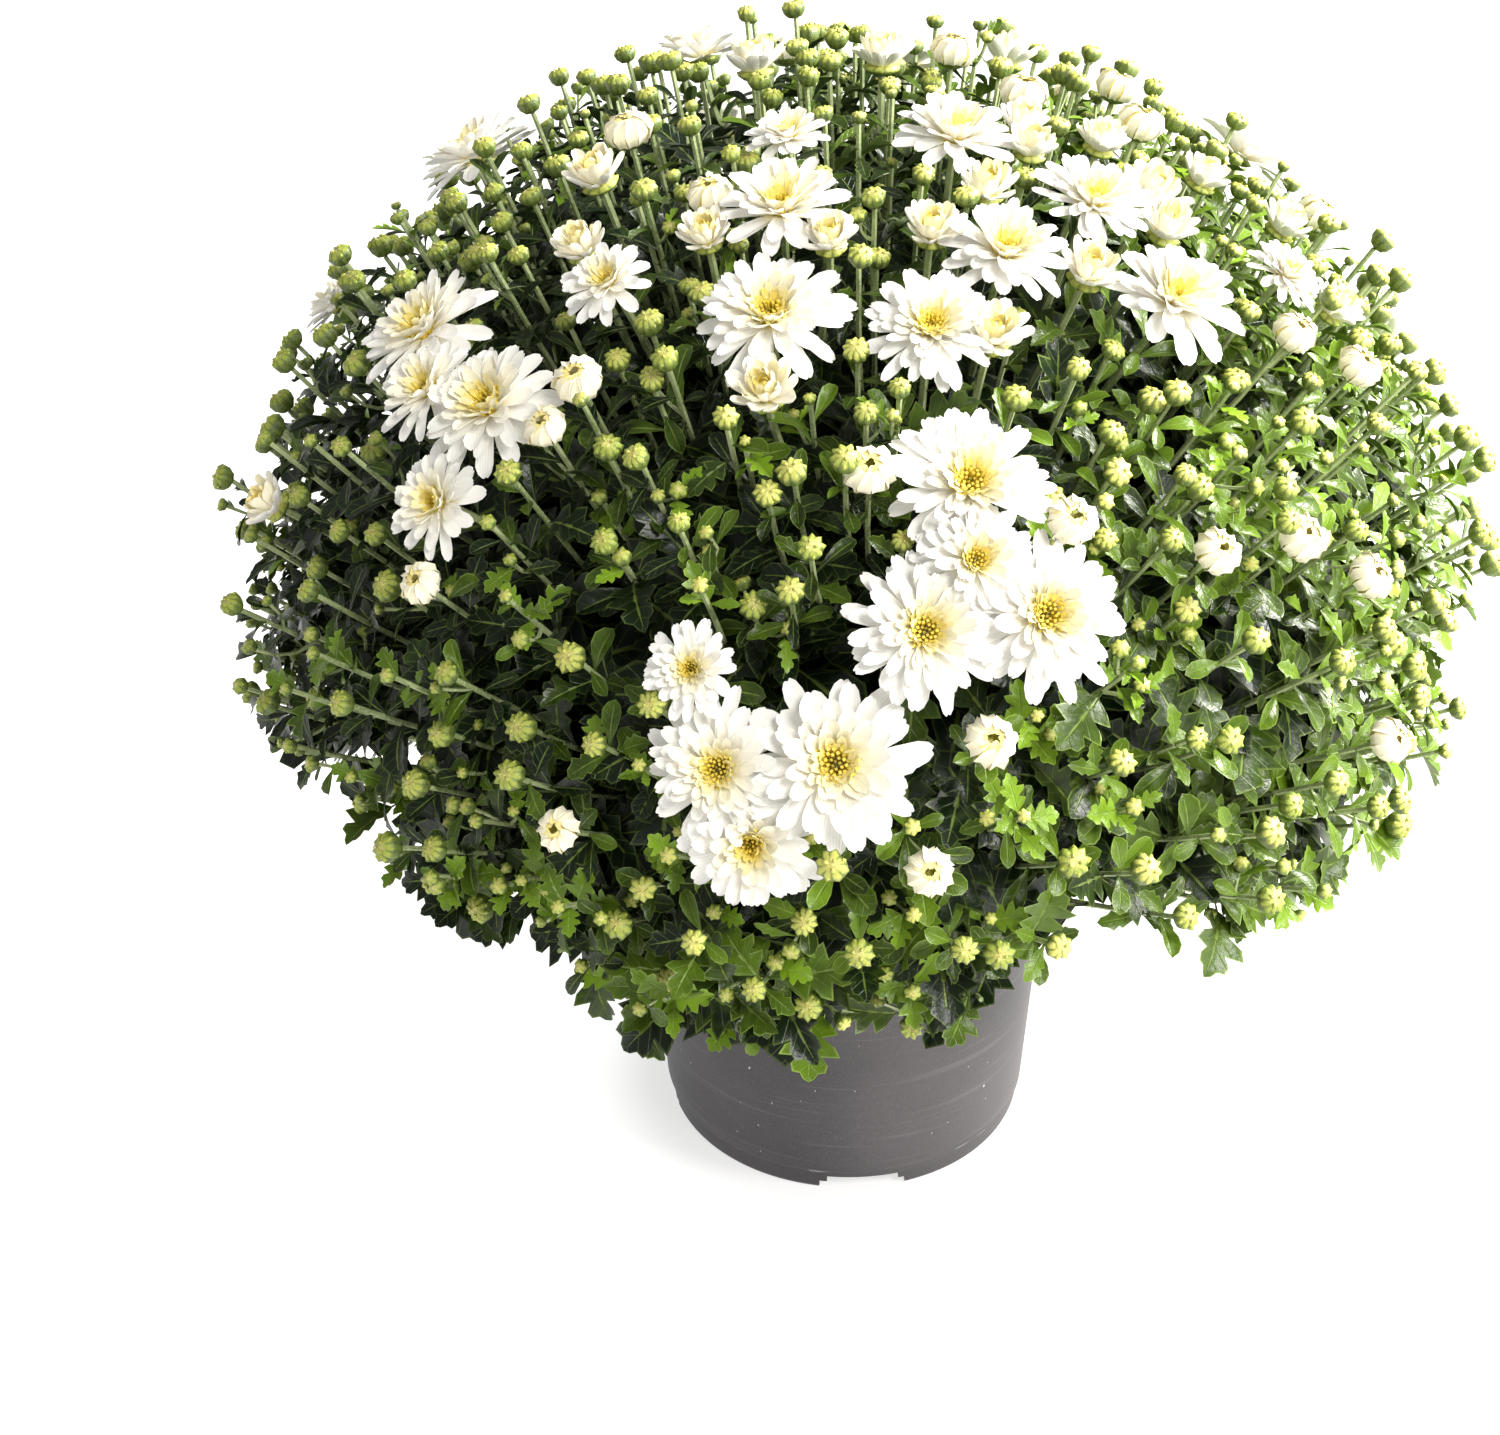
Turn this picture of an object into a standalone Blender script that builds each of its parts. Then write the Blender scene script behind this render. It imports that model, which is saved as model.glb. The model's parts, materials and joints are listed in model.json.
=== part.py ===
"""A pot chrysanthemum: a dense dome of leafy sprays, buds and white blooms in a round grey pot.

Metres, +Z up. The origin is the middle of the pot's base, on the surface that it stands on.
Azimuth 0 is the front, towards -Y, and a positive azimuth turns to the right, towards +X.
"""

import math
import random

import bmesh
import bpy
from mathutils import Matrix, Vector
from mathutils.bvhtree import BVHTree

MM = 0.001
SEAT_GAP = 0.3 * MM

# The pot: a thin tapered wall on a short foot band, with a rolled lip and notches to drain
POT_STEPS = 28
POT_HEIGHT = 145 * MM
LIP_RADIUS = 85 * MM
LIP_HEIGHT = 9 * MM
LIP_STEP = 1.6 * MM
EDGE_ROUND = 0.8 * MM
BAND_HEIGHT = 9 * MM
BAND_TOP_RADIUS = 77 * MM
BAND_STEP = 1.2 * MM
BASE_RADIUS = 75 * MM
WALL = 1.5 * MM
LOW_WALL = 2.4 * MM
FOOT_WIDTH = 3.2 * MM
FLOOR_LIFT = 6 * MM
NOTCHES = 4
NOTCH_WIDTH = 36 * MM
NOTCH_HEIGHT = 7 * MM
NOTCH_DEPTH = 8 * MM
NOTCH_ROUND = 2.5 * MM
NOTCH_AZIMUTH = 4.7
DRAIN_RADIUS = 5 * MM
DRAIN_PLACE = 52 * MM
DRAIN_TURN = 45

# The soil, with a plain hole for each stem
SOIL_TOP = 128 * MM
SOIL_EDGE_DIP = 2 * MM
SOIL_CROWN = 1.2 * MM
SOIL_FLAT = 42 * MM
HOLE_DEPTH = 26 * MM
HOLE_RADIUS = 3.2 * MM
STEM_RADIUS = 2.5 * MM
CROWN_RADIUS = 30 * MM

# The dome of foliage: an upper and a lower half ellipsoid, and the heart that its shoots fan out from
DOME_RADIUS = 240 * MM
DOME_MIDDLE = 267 * MM
DOME_UP = 191 * MM
DOME_DOWN = 150 * MM
HEART = Vector((0, 0, 150 * MM))

# The sprays: each keeps to the directions that lie nearest its own, so that none meets its neighbour
SPRAYS = 12
LOWEST_SPRAY = 20
GOLDEN_ANGLE = 137.508
CELL_MARGIN = 0.5 * MM
BLOOM_MARGIN = 1.2 * MM
CORE_SIDES = 8
CORE_SHARE = 0.81
CORE_ROUGHNESS = 0.12
CORE_START = 32 * MM
CORE_WIDEST = 40
CORE_MARGIN = 2.6 * MM
CORE_LOWEST = 19
FRONT_LOWEST = 5
FRONT_SKIRT = (-32, 16)
SHOOTS_PER_SPRAY = 6
SHOOT_SPACING = 30 * MM
LEAVES_PER_SPRAY = 11
LEAF_SPACING = 26 * MM
LOBED_CHANCE = 0.65
LEAF_LEAN = (4, 26)
LEAF_SHARE = (0.86, 0.95)
MOST_TRIES = 700
UNDER_TRIES = 3
UNDER_SPRAY = 40
UNDER_SLOPE = -0.3

# Leaves, as shares of their length: half outlines from the blade's foot to its tip
LOBED_HALF = ((0.0, 0.03), (0.12, 0.24), (0.30, 0.15), (0.54, 0.38), (0.70, 0.18))
ENTIRE_HALF = ((0.0, 0.04), (0.42, 0.21), (0.76, 0.23))
LEAF_THICKNESS = 1.4 * MM
LEAF_MIDDLE = 0.3
LOBED_LENGTH = 47 * MM
ENTIRE_LENGTH = 30 * MM
LEAF_SIZES = (0.85, 1.12)
LEAF_DROOP = 0.16
LEAF_TROUGH = 0.25

# Buds on their stalks
BUD_SIDES = 5
BUD_RADIUS = 5.6 * MM
BUD_HEIGHT = 8.5 * MM
BUD_SIZES = (0.85, 1.1)
BUD_TOPS = (0.96, 1.0)
NECK_SHARE = 0.62
BELLY_SHARE = 0.34
CUP_NECK = 5 * MM
CUP_LIFT = 1 * MM
STALK_RADIUS = 1.2 * MM
ROOT_DEPTH = 5 * MM

# Blooms: azimuth, height angle on the dome, petal reach in mm, stage, and how far the face is
# turned in azimuth and tipped down from the direction of its own shoot, in degrees
BLOOMS = (
    (-65, 44, 25, "full", 0, 0),
    (-56, 40, 19, "open", 0, 0),
    (-47, 42, 25, "full", 0, 0),
    (-46, 32, 19, "open", 0, 14),
    (-43, 57, 16, "open", 0, 10),
    (-54, 59, 12, "half", 0, 0),
    (-16, 58, 26, "full", 0, 0),
    (-14, 50.5, 14, "half", 0, 0),
    (-22, 70, 24, "open", 0, 0),
    (-34, 65, 12, "half", 0, 0),
    (-9, 67, 12, "half", 0, 0),
    (-38, 79, 15, "open", 0, 0),
    (-140, 75, 14, "half", 0, 0),
    (170, 79, 14, "half", 0, 0),
    (42, 79, 22, "open", 0, 0),
    (8, 57, 23, "full", 0, 0),
    (17, 56, 14, "half", 0, 0),
    (13, 68, 13, "half", 0, 0),
    (25, 64, 22, "open", 0, 0),
    (52, 66, 22, "open", 0, 0),
    (47, 54, 24, "open", 0, 0),
    (68, 63, 15, "half", 0, 0),
    (80, 69, 12, "half", 0, 0),
    (75, 76, 12, "half", 0, 0),
    (84, 59, 12, "half", 0, 0),
    (9.5, 42, 27, "full", 0, 0),
    (9, 35, 20, "open", 0, 6),
    (4, 29, 25, "full", 0, 6),
    (15, 29.5, 26, "full", 0, 6),
    (-16, 24, 16, "open", 0, 0),
    (-13, 15, 24, "full", 0, 0),
    (-3.5, 16.5, 28, "full", 0, 0),
    (-10, 8, 23, "open", 0, 12),
    (-72, 65, 14, "half", 0, 0),
    (84, 50, 12, "half", 0, 0),
    (69, 49, 15, "open", 0, 0),
    (73, 43, 12, "half", 0, 0),
    (-73, 18, 13, "half", 0, 0),
    (-108, 50, 23, "open", 0, 0),
    (-128, 37, 25, "open", 0, 0),
    (-152, 57, 22, "open", 0, 0),
    (-165, 28, 25, "open", 0, 0),
    (172, 46, 24, "open", 0, 0),
    (148, 62, 14, "half", 0, 0),
    (140, 26, 25, "open", 0, 0),
    (118, 44, 22, "open", 0, 0),
    (108, 18, 14, "half", 0, 0),
    (-112, 20, 16, "open", 0, 0),
)

# Petals in their layers, as shares of the bloom's reach: tip reach, tip height, notch reach, notch
# height, then the reach and height of the foot that the next layer up starts from
PETALS = {"full": 9, "open": 9, "half": 5}
SMALL_REACH = 20 * MM
SMALL_PETALS = 7
LAYERS = {
    "full": (
        (1.00, 0.10, 0.56, 0.07, 0.32, 0.13),
        (0.80, 0.30, 0.46, 0.21, 0.22, 0.20),
        (0.54, 0.44, 0.33, 0.33, 0.00, 0.25),
    ),
    "open": (
        (1.00, 0.10, 0.56, 0.07, 0.30, 0.14),
        (0.74, 0.34, 0.42, 0.24, 0.00, 0.20),
    ),
    "half": (
        (1.00, 0.60, 0.62, 0.36, 0.34, 0.26),
        (0.66, 0.90, 0.42, 0.62, 0.00, 0.50),
    ),
}
CUP_SHARE = 0.20
EYE_SHARE = 0.25
EYE_SIDES = 7
EYE_RISE = 2.4 * MM
EYE_DIP = 0.6 * MM
EYE_CROWN = 0.6
BLOOM_SINK = {"full": 0.36, "open": 0.36, "half": 0.8}
BLOOM_TOP = 0.9
BLOOM_ROOM = 3 * MM

# Side shoots that reach to the dome's edge at each quarter, and shoots that hang below it: azimuth, then
# the reach and height of the tip in mm
SIDE_SHOOTS = (
    (0, 239, 280),
    (90, 239, 280),
    (180, 239, 280),
    (-90, 239, 280),
    (-49, 218, 208),
    (-26, 196, 190),
    (-14, 186, 186),
    (9, 184, 186),
    (47, 216, 214),
    (150, 214, 216),
    (-150, 214, 216),
)
HANGING_LEAN = 62
HANGING_SIZE = 0.85
HANGING_ROOT = 0.62
HANGING_STEP = 0.12


def clear_scene():
    for obj in list(bpy.data.objects):
        bpy.data.objects.remove(obj, do_unlink=True)


def new_collection(name):
    collection = bpy.data.collections.new(name)
    bpy.context.scene.collection.children.link(collection)
    return collection


def new_material(name, colour, roughness):
    material = bpy.data.materials.new(name)
    material.use_nodes = True
    shader = material.node_tree.nodes["Principled BSDF"]
    shader.inputs["Base Color"].default_value = (*colour, 1)
    shader.inputs["Roughness"].default_value = roughness
    shader.inputs["Metallic"].default_value = 0
    material.diffuse_color = (*colour, 1)
    return material


def heading(azimuth):
    """The level direction at an azimuth."""
    turn = math.radians(azimuth)
    return Vector((math.sin(turn), -math.cos(turn), 0))


def dome_point(azimuth, height):
    """A point of the dome's skin, by azimuth and height angle."""
    rise = math.radians(height)
    up = DOME_UP if height > 0 else DOME_DOWN
    level = heading(azimuth) * DOME_RADIUS * math.cos(rise)
    return level + Vector((0, 0, DOME_MIDDLE + up * math.sin(rise)))


def reach(direction):
    """How far the dome's skin lies from the heart, along a direction."""
    for up in (DOME_UP, DOME_DOWN):
        squash = Vector((1 / DOME_RADIUS, 1 / DOME_RADIUS, 1 / up))
        ray = direction * squash
        start = (HEART - Vector((0, 0, DOME_MIDDLE))) * squash
        half = ray.dot(start)
        far = (-half + math.sqrt(half * half - ray.dot(ray) * (start.dot(start) - 1))) / ray.dot(ray)
        if (HEART.z + far * direction.z > DOME_MIDDLE) == (up == DOME_UP):
            break
    return far


def frame_along(axis, origin, toward):
    """A frame whose +Z is the axis, and whose +X leans as near to a direction as it can."""
    z_axis = axis.normalized()
    x_axis = (toward - z_axis * toward.dot(z_axis)).normalized()
    y_axis = z_axis.cross(x_axis)
    return Matrix.Translation(origin) @ Matrix((x_axis, y_axis, z_axis)).transposed().to_4x4()


def body_through(bottom, rings, top):
    """A closed body through rings of points: a sphere whose poles and rings are moved there."""
    sides = len(rings[0])
    levels = len(rings) + 1
    bm = bmesh.new()
    bmesh.ops.create_uvsphere(bm, u_segments=sides, v_segments=levels, radius=1)
    for vertex in bm.verts:
        level = round(levels * (1 - math.acos(max(-1, min(1, vertex.co.z))) / math.pi))
        place = round(sides * math.atan2(vertex.co.y, vertex.co.x) / math.tau) % sides
        if level == 0:
            vertex.co = bottom
        elif level == levels:
            vertex.co = top
        else:
            vertex.co = rings[level - 1][place]
    bmesh.ops.triangulate(bm, faces=bm.faces)
    bmesh.ops.recalc_face_normals(bm, faces=bm.faces)
    return bm


def round_ring(radius, height, sides):
    """Points of a level circle."""
    turns = [math.tau * k / sides for k in range(sides)]
    return [Vector((radius * math.cos(t), radius * math.sin(t), height)) for t in turns]


def add_object(name, bm, collection, material):
    mesh = bpy.data.meshes.new(name)
    bm.to_mesh(mesh)
    bm.free()
    mesh.materials.append(material)
    obj = bpy.data.objects.new(name, mesh)
    collection.objects.link(obj)
    return obj


def evaluated_mesh(obj):
    bpy.context.view_layer.update()
    graph = bpy.context.evaluated_depsgraph_get()
    return bpy.data.meshes.new_from_object(obj.evaluated_get(graph))


def largest_shell(mesh):
    """Drops loose scraps and sealed hollows, which are shells smaller than the whole."""
    bm = bmesh.new()
    bm.from_mesh(mesh)
    left = set(bm.verts)
    shells = []
    while left:
        shell = {left.pop()}
        edge = list(shell)
        while edge:
            near = {e.other_vert(v) for v in edge for e in v.link_edges} & left
            left -= near
            shell |= near
            edge = list(near)
        shells.append(shell)
    keep = max(shells, key=len)
    bmesh.ops.delete(bm, geom=[v for v in bm.verts if v not in keep], context="VERTS")
    bm.to_mesh(mesh)
    bm.free()


def joined(base, others, solver="EXACT"):
    """One body of the base and the others, by one Boolean union, which is applied."""
    if others:
        repeats = bpy.data.collections.new(base.name + "_repeats")
        bpy.context.scene.collection.children.link(repeats)
        for other in others:
            for owner in list(other.users_collection):
                owner.objects.unlink(other)
            repeats.objects.link(other)
        union = base.modifiers.new("Union", "BOOLEAN")
        union.operation = "UNION"
        union.operand_type = "COLLECTION"
        union.collection = repeats
        union.solver = solver
        mesh = evaluated_mesh(base)
        base.modifiers.clear()
        base.data = mesh
        for other in others:
            bpy.data.objects.remove(other, do_unlink=True)
        bpy.data.collections.remove(repeats)
    largest_shell(base.data)
    return base


def turned(name, profile, collection, material):
    """A profile of (radius, height) points turned round the pot's axis."""
    mesh = bpy.data.meshes.new(name)
    points = [(radius, 0, height) for radius, height in profile]
    mesh.from_pydata(points, [(k, k + 1) for k in range(len(points) - 1)], [])
    mesh.materials.append(material)
    obj = bpy.data.objects.new(name, mesh)
    collection.objects.link(obj)
    screw = obj.modifiers.new("Turn", "SCREW")
    screw.steps = POT_STEPS
    screw.render_steps = POT_STEPS
    screw.use_merge_vertices = True
    screw.merge_threshold = 0.00001
    return obj


def wall_radius(height):
    """The pot's outer radius between its band and its lip."""
    share = (height - BAND_HEIGHT) / (POT_HEIGHT - LIP_HEIGHT - BAND_HEIGHT)
    return BAND_TOP_RADIUS + share * (LIP_RADIUS - LIP_STEP - BAND_TOP_RADIUS)


def cutter_object(name, bm, collection):
    mesh = bpy.data.meshes.new(name)
    bm.to_mesh(mesh)
    bm.free()
    obj = bpy.data.objects.new(name, mesh)
    collection.objects.link(obj)
    obj.hide_render = True
    obj.display_type = "WIRE"
    return obj


def cut_away(obj, cutters, name):
    """Cuts every object of a collection out of a part."""
    cut = obj.modifiers.new(name, "BOOLEAN")
    cut.operation = "DIFFERENCE"
    cut.operand_type = "COLLECTION"
    cut.collection = cutters
    cut.solver = "EXACT"


def make_pot(collection, cutters, material):
    lip_base = POT_HEIGHT - LIP_HEIGHT
    inside = FLOOR_LIFT + WALL
    profile = (
        (LIP_RADIUS - WALL, POT_HEIGHT),
        (LIP_RADIUS - EDGE_ROUND / 2, POT_HEIGHT),
        (LIP_RADIUS, POT_HEIGHT - EDGE_ROUND),
        (LIP_RADIUS, lip_base + EDGE_ROUND),
        (wall_radius(lip_base), lip_base),
        (wall_radius(BAND_HEIGHT + BAND_STEP), BAND_HEIGHT + BAND_STEP),
        (BAND_TOP_RADIUS - EDGE_ROUND, BAND_HEIGHT),
        (BASE_RADIUS, EDGE_ROUND),
        (BASE_RADIUS - EDGE_ROUND, 0),
        (BASE_RADIUS - FOOT_WIDTH, 0),
        (BASE_RADIUS - FOOT_WIDTH - EDGE_ROUND, FLOOR_LIFT),
        (0, FLOOR_LIFT),
    )
    inner = (
        (0, inside),
        (wall_radius(BAND_HEIGHT) - LOW_WALL, inside),
        (wall_radius(lip_base) - WALL, lip_base),
        (LIP_RADIUS - WALL, POT_HEIGHT),
    )
    pot = turned("pot", profile + inner, collection, material)
    for k in range(NOTCHES):
        azimuth = NOTCH_AZIMUTH + 360 * k / NOTCHES
        out = heading(azimuth)
        place = frame_along(Vector((0, 0, 1)), out * BASE_RADIUS, out)
        bm = bmesh.new()
        bmesh.ops.create_cube(bm, size=1)
        bmesh.ops.scale(bm, vec=(2 * NOTCH_DEPTH, NOTCH_WIDTH, 2 * NOTCH_HEIGHT), verts=bm.verts)
        upright = [e for e in bm.edges if abs((e.verts[0].co - e.verts[1].co).x) > NOTCH_DEPTH]
        bmesh.ops.bevel(bm, geom=upright, offset=NOTCH_ROUND, segments=2, affect="EDGES")
        bm.transform(place)
        cutter_object(f"notch_cutter_{k + 1}", bm, cutters)
        bm = bmesh.new()
        bmesh.ops.create_cone(
            bm, cap_ends=True, segments=8, radius1=DRAIN_RADIUS, radius2=DRAIN_RADIUS, depth=2 * FLOOR_LIFT
        )
        drain = heading(azimuth + DRAIN_TURN) * DRAIN_PLACE + Vector((0, 0, FLOOR_LIFT))
        bm.transform(Matrix.Translation(drain))
        cutter_object(f"drain_cutter_{k + 1}", bm, cutters)
    cut_away(pot, cutters, "Drainage")
    return pot


def stem_place(number):
    """Where a spray's stem comes out of the soil: below its own spray, drawn in to the crown."""
    site = SITES[number]
    return Vector((site.x, site.y, 0)) * CROWN_RADIUS + Vector((0, 0, SOIL_TOP))


def make_soil(collection, cutters, material):
    bottom = FLOOR_LIFT + WALL + SEAT_GAP
    low_radius = wall_radius(BAND_HEIGHT) - LOW_WALL - 2 * SEAT_GAP
    high_radius = wall_radius(SOIL_TOP) - WALL - 2 * SEAT_GAP
    profile = (
        (0, SOIL_TOP + SOIL_CROWN),
        (SOIL_FLAT, SOIL_TOP),
        (high_radius - SEAT_GAP, SOIL_TOP - SOIL_EDGE_DIP),
        (low_radius, bottom),
        (0, bottom),
    )
    soil = turned("soil", profile, collection, material)
    for number in range(SPRAYS):
        bm = bmesh.new()
        bmesh.ops.create_cone(
            bm, cap_ends=True, segments=6, radius1=HOLE_RADIUS, radius2=HOLE_RADIUS, depth=2 * HOLE_DEPTH
        )
        bm.transform(Matrix.Translation(stem_place(number)))
        cutter_object(f"stem_hole_cutter_{number + 1}", bm, cutters)
    cut_away(soil, cutters, "Stem holes")
    return soil


def spray_sites():
    """The sprays' directions from the heart, spread evenly over the dome by the golden angle."""
    low = math.sin(math.radians(LOWEST_SPRAY))
    sites = []
    for k in range(SPRAYS):
        rise = low + (1 - low) * (k + 0.5) / SPRAYS
        level = math.sqrt(1 - rise * rise)
        sites.append((heading(k * GOLDEN_ANGLE) * level + Vector((0, 0, rise))).normalized())
    return sites


SITES = spray_sites()


def owner(point):
    """The spray that a point belongs to."""
    offset = point - HEART
    return max(range(SPRAYS), key=lambda k: SITES[k].dot(offset))


def room(point, number):
    """How far a point lies inside the space of a spray, and below zero outside it."""
    offset = point - HEART
    own = SITES[number]
    others = (site for k, site in enumerate(SITES) if k != number)
    return min((own - site).dot(offset) / (own - site).length for site in others)


def elevation(direction):
    return math.degrees(math.asin(max(-1, min(1, direction.normalized().z))))


def lowest(direction):
    """The lowest height angle of the dense foliage, which hangs lower over the front of the pot."""
    azimuth = math.degrees(math.atan2(direction.x, -direction.y))
    return FRONT_LOWEST if FRONT_SKIRT[0] < azimuth < FRONT_SKIRT[1] else CORE_LOWEST


def core_edge(number, turn):
    """The furthest direction that a spray's core may take, one way round from its own."""
    site = SITES[number]
    across = frame_along(site, Vector(), Vector((0, 0, 1))).to_3x3()
    side = across @ Vector((math.cos(turn), math.sin(turn), 0))
    low, high = 0, math.radians(CORE_WIDEST)
    for _ in range(24):
        middle = (low + high) / 2
        direction = site * math.cos(middle) + side * math.sin(middle)
        far = HEART + direction * CORE_SHARE * reach(direction)
        if room(far, number) > CORE_MARGIN and elevation(direction) > lowest(direction):
            low = middle
        else:
            high = middle
    return site * math.cos(low) + side * math.sin(low)


def make_core(number, rng, collection, material):
    """The dark mass of inner twigs and leaves, out of which everything of the spray stands."""
    edges = [core_edge(number, math.tau * k / CORE_SIDES) for k in range(CORE_SIDES)]
    near = [HEART + edge * CORE_START for edge in edges]
    far = []
    for edge in edges:
        share = CORE_SHARE * (1 - CORE_ROUGHNESS * rng.random())
        far.append(HEART + edge * share * reach(edge))
    site = SITES[number]
    bottom = HEART + site * CORE_START * 0.8
    top = HEART + site * reach(site) * (CORE_SHARE + 0.02)
    bm = body_through(bottom, [near, far], top)
    return add_object(f"spray_{number + 1:02d}", bm, collection, material)


def make_stem(number, collection, material):
    """The woody stem from its hole in the soil into the spray's core."""
    ground = stem_place(number)
    site = SITES[number]
    points = (
        ground - Vector((0, 0, HOLE_DEPTH - 1 * MM)),
        ground + Vector((0, 0, 12 * MM)),
        HEART + site * CORE_START * 0.75,
        HEART + site * CORE_START * 1.3,
    )
    curve = bpy.data.curves.new("stem", "CURVE")
    curve.dimensions = "3D"
    curve.bevel_depth = STEM_RADIUS
    curve.bevel_resolution = 1
    curve.use_fill_caps = True
    spline = curve.splines.new("POLY")
    spline.points.add(len(points) - 1)
    for place, point in zip(spline.points, points):
        place.co = (*point, 1)
    guide = bpy.data.objects.new("stem_guide", curve)
    collection.objects.link(guide)
    bm = bmesh.new()
    bm.from_mesh(evaluated_mesh(guide))
    bpy.data.objects.remove(guide, do_unlink=True)
    bmesh.ops.remove_doubles(bm, verts=bm.verts, dist=0.00001)
    bmesh.ops.recalc_face_normals(bm, faces=bm.faces)
    return add_object("stem", bm, collection, material)


def leaf_mesh(half, length, droop, root):
    """A blade and its stalk's root: edge points from the tip round, bent down along it, up at its sides."""
    def bent(along, across):
        sag = LEAF_TROUGH * abs(across) - droop * max(0, along) ** 2
        return Vector((along * length, across * length, sag * length))

    left = [bent(along, across) for along, across in reversed(half)]
    right = [bent(along, -across) for along, across in half]
    edge = [bent(1, 0)] + left + [root] + right
    middle = bent(LEAF_MIDDLE, 0)
    lift = Vector((0, 0, LEAF_THICKNESS / 2))
    return body_through(middle - lift, [edge], middle + lift)


def bud_mesh(stalk, size):
    """A bud on its stalk: root, neck, belly and crown."""
    neck = round_ring(STALK_RADIUS, -BUD_HEIGHT * NECK_SHARE * size, BUD_SIDES)
    belly = round_ring(BUD_RADIUS * size, -BUD_HEIGHT * BELLY_SHARE * size, BUD_SIDES)
    return body_through(Vector((0, 0, -stalk)), [neck, belly], Vector((0, 0, 0)))


def peduncle_mesh(stalk, cup):
    """A bloom's stalk, which widens to the green cup that the bloom sits on."""
    neck = round_ring(STALK_RADIUS, -CUP_NECK, BUD_SIDES)
    rings = [neck, round_ring(cup, -CUP_LIFT, BUD_SIDES)]
    return body_through(Vector((0, 0, -stalk)), rings, Vector((0, 0, -SEAT_GAP)))


def petal_rings(stage, petals, bloom_reach):
    """Rings from the outer petals inward: each layer's tips and notches, then the next one's foot."""
    rings = []
    for layer, (tip, tip_height, notch, notch_height, foot, foot_height) in enumerate(LAYERS[stage]):
        star = []
        circle = []
        for k in range(2 * petals):
            turn = math.pi * k / petals
            level = Vector((math.cos(turn), math.sin(turn), 0))
            at_tip = (k + layer) % 2 == 0
            reach_here, height_here = (tip, tip_height) if at_tip else (notch, notch_height)
            star.append(level * reach_here + Vector((0, 0, height_here)))
            circle.append(level * foot + Vector((0, 0, foot_height)))
        rings.append(star)
        if foot:
            rings.append(circle)
    return [[point * bloom_reach for point in ring] for ring in rings]


class Bloom:
    """One bloom's place: its base, its axis, its reach and its stage."""

    def __init__(self, azimuth, height, petal_reach, stage, turn, tip):
        skin = dome_point(azimuth, height)
        out = (skin - HEART).normalized()
        self.reach = petal_reach * MM
        self.stage = stage
        self.depth = self.reach * BLOOM_SINK[stage]
        level = heading(azimuth + turn)
        rise = math.radians(elevation(out) - tip)
        self.axis = level * math.cos(rise) + Vector((0, 0, math.sin(rise)))
        self.base = skin - out * self.depth
        self.frame = frame_along(self.axis, self.base, Vector((0, 0, 1)))

    def holds(self, point, margin):
        """Whether a point lies in the space that the bloom fills, or within a margin of it."""
        offset = point - self.base
        height = offset.dot(self.axis)
        across = (offset - self.axis * height).length
        top = self.reach * BLOOM_TOP + BLOOM_ROOM
        return -margin < height < top + margin and across < self.reach + margin


def make_bloom(number, bloom, rng, collection, material):
    """A bloom's layers of petals as one body."""
    petals = PETALS[bloom.stage]
    if bloom.reach < SMALL_REACH:
        petals = min(petals, SMALL_PETALS)
    middle = Vector((0, 0, LAYERS[bloom.stage][-1][-1] * bloom.reach))
    bm = body_through(Vector(), petal_rings(bloom.stage, petals, bloom.reach), middle)
    bm.transform(bloom.frame @ Matrix.Rotation(rng.uniform(0, math.tau), 4, "Z"))
    return add_object(f"bloom_{number + 1:02d}", bm, collection, material)


def make_eye(number, bloom, collection, material):
    """The yellow heap of florets in a full bloom's middle, just clear of the dish that holds it."""
    _, _, notch, notch_height, _, middle = LAYERS["full"][-1]
    radius = EYE_SHARE * bloom.reach
    floor = middle * bloom.reach
    rim = floor + radius * (notch_height - middle) / notch * 1.5 + 2 * SEAT_GAP
    crown = round_ring(radius * EYE_CROWN, rim + EYE_RISE, EYE_SIDES)
    rings = [round_ring(radius, rim, EYE_SIDES), crown]
    bm = body_through(Vector((0, 0, floor + SEAT_GAP)), rings, Vector((0, 0, rim + EYE_RISE - EYE_DIP)))
    bm.transform(bloom.frame)
    return add_object(f"eye_{number + 1:02d}", bm, collection, material)


def tree_of(obj):
    bm = bmesh.new()
    bm.from_mesh(obj.data)
    tree = BVHTree.FromBMesh(bm)
    bm.free()
    return tree


def touching_groups(objects):
    """Lists of the objects that run into each other."""
    trees = [tree_of(obj) for obj in objects]
    groups = [{k} for k in range(len(objects))]
    for k in range(len(objects)):
        for other in range(k + 1, len(objects)):
            if groups[k] is not groups[other] and trees[k].overlap(trees[other]):
                groups[k] |= groups[other]
                for member in groups[other]:
                    groups[member] = groups[k]
    seen = []
    for group in groups:
        if group not in seen:
            seen.append(group)
    return [[objects[k] for k in sorted(group)] for group in seen]


def under_foot(core, rng):
    """A place on the core's underside, and the level direction out from there."""
    low = [face for face in core.data.polygons if face.normal.z < UNDER_SLOPE]
    face = max(low, key=lambda f: rng.random() * f.area)
    corners = [core.data.vertices[k].co for k in face.vertices]
    shares = [rng.random() for _ in corners]
    point = sum((corner * share for corner, share in zip(corners, shares)), Vector()) / sum(shares)
    return point, Vector((point.x, point.y, 0)).normalized()


def clear_points(points, number, blooms):
    """Whether all of these points keep to one spray's space, off the blooms and off the pot."""
    for point in points:
        if room(point, number) < CELL_MARGIN:
            return False
        if math.hypot(point.x, point.y) < LIP_RADIUS + 4 * MM and point.z < POT_HEIGHT + 4 * MM:
            return False
        offset = point - HEART
        if offset.length > reach(offset.normalized()) * 1.01:
            return False
        if any(bloom.holds(point, BLOOM_MARGIN) for bloom in blooms):
            return False
    return True


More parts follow.
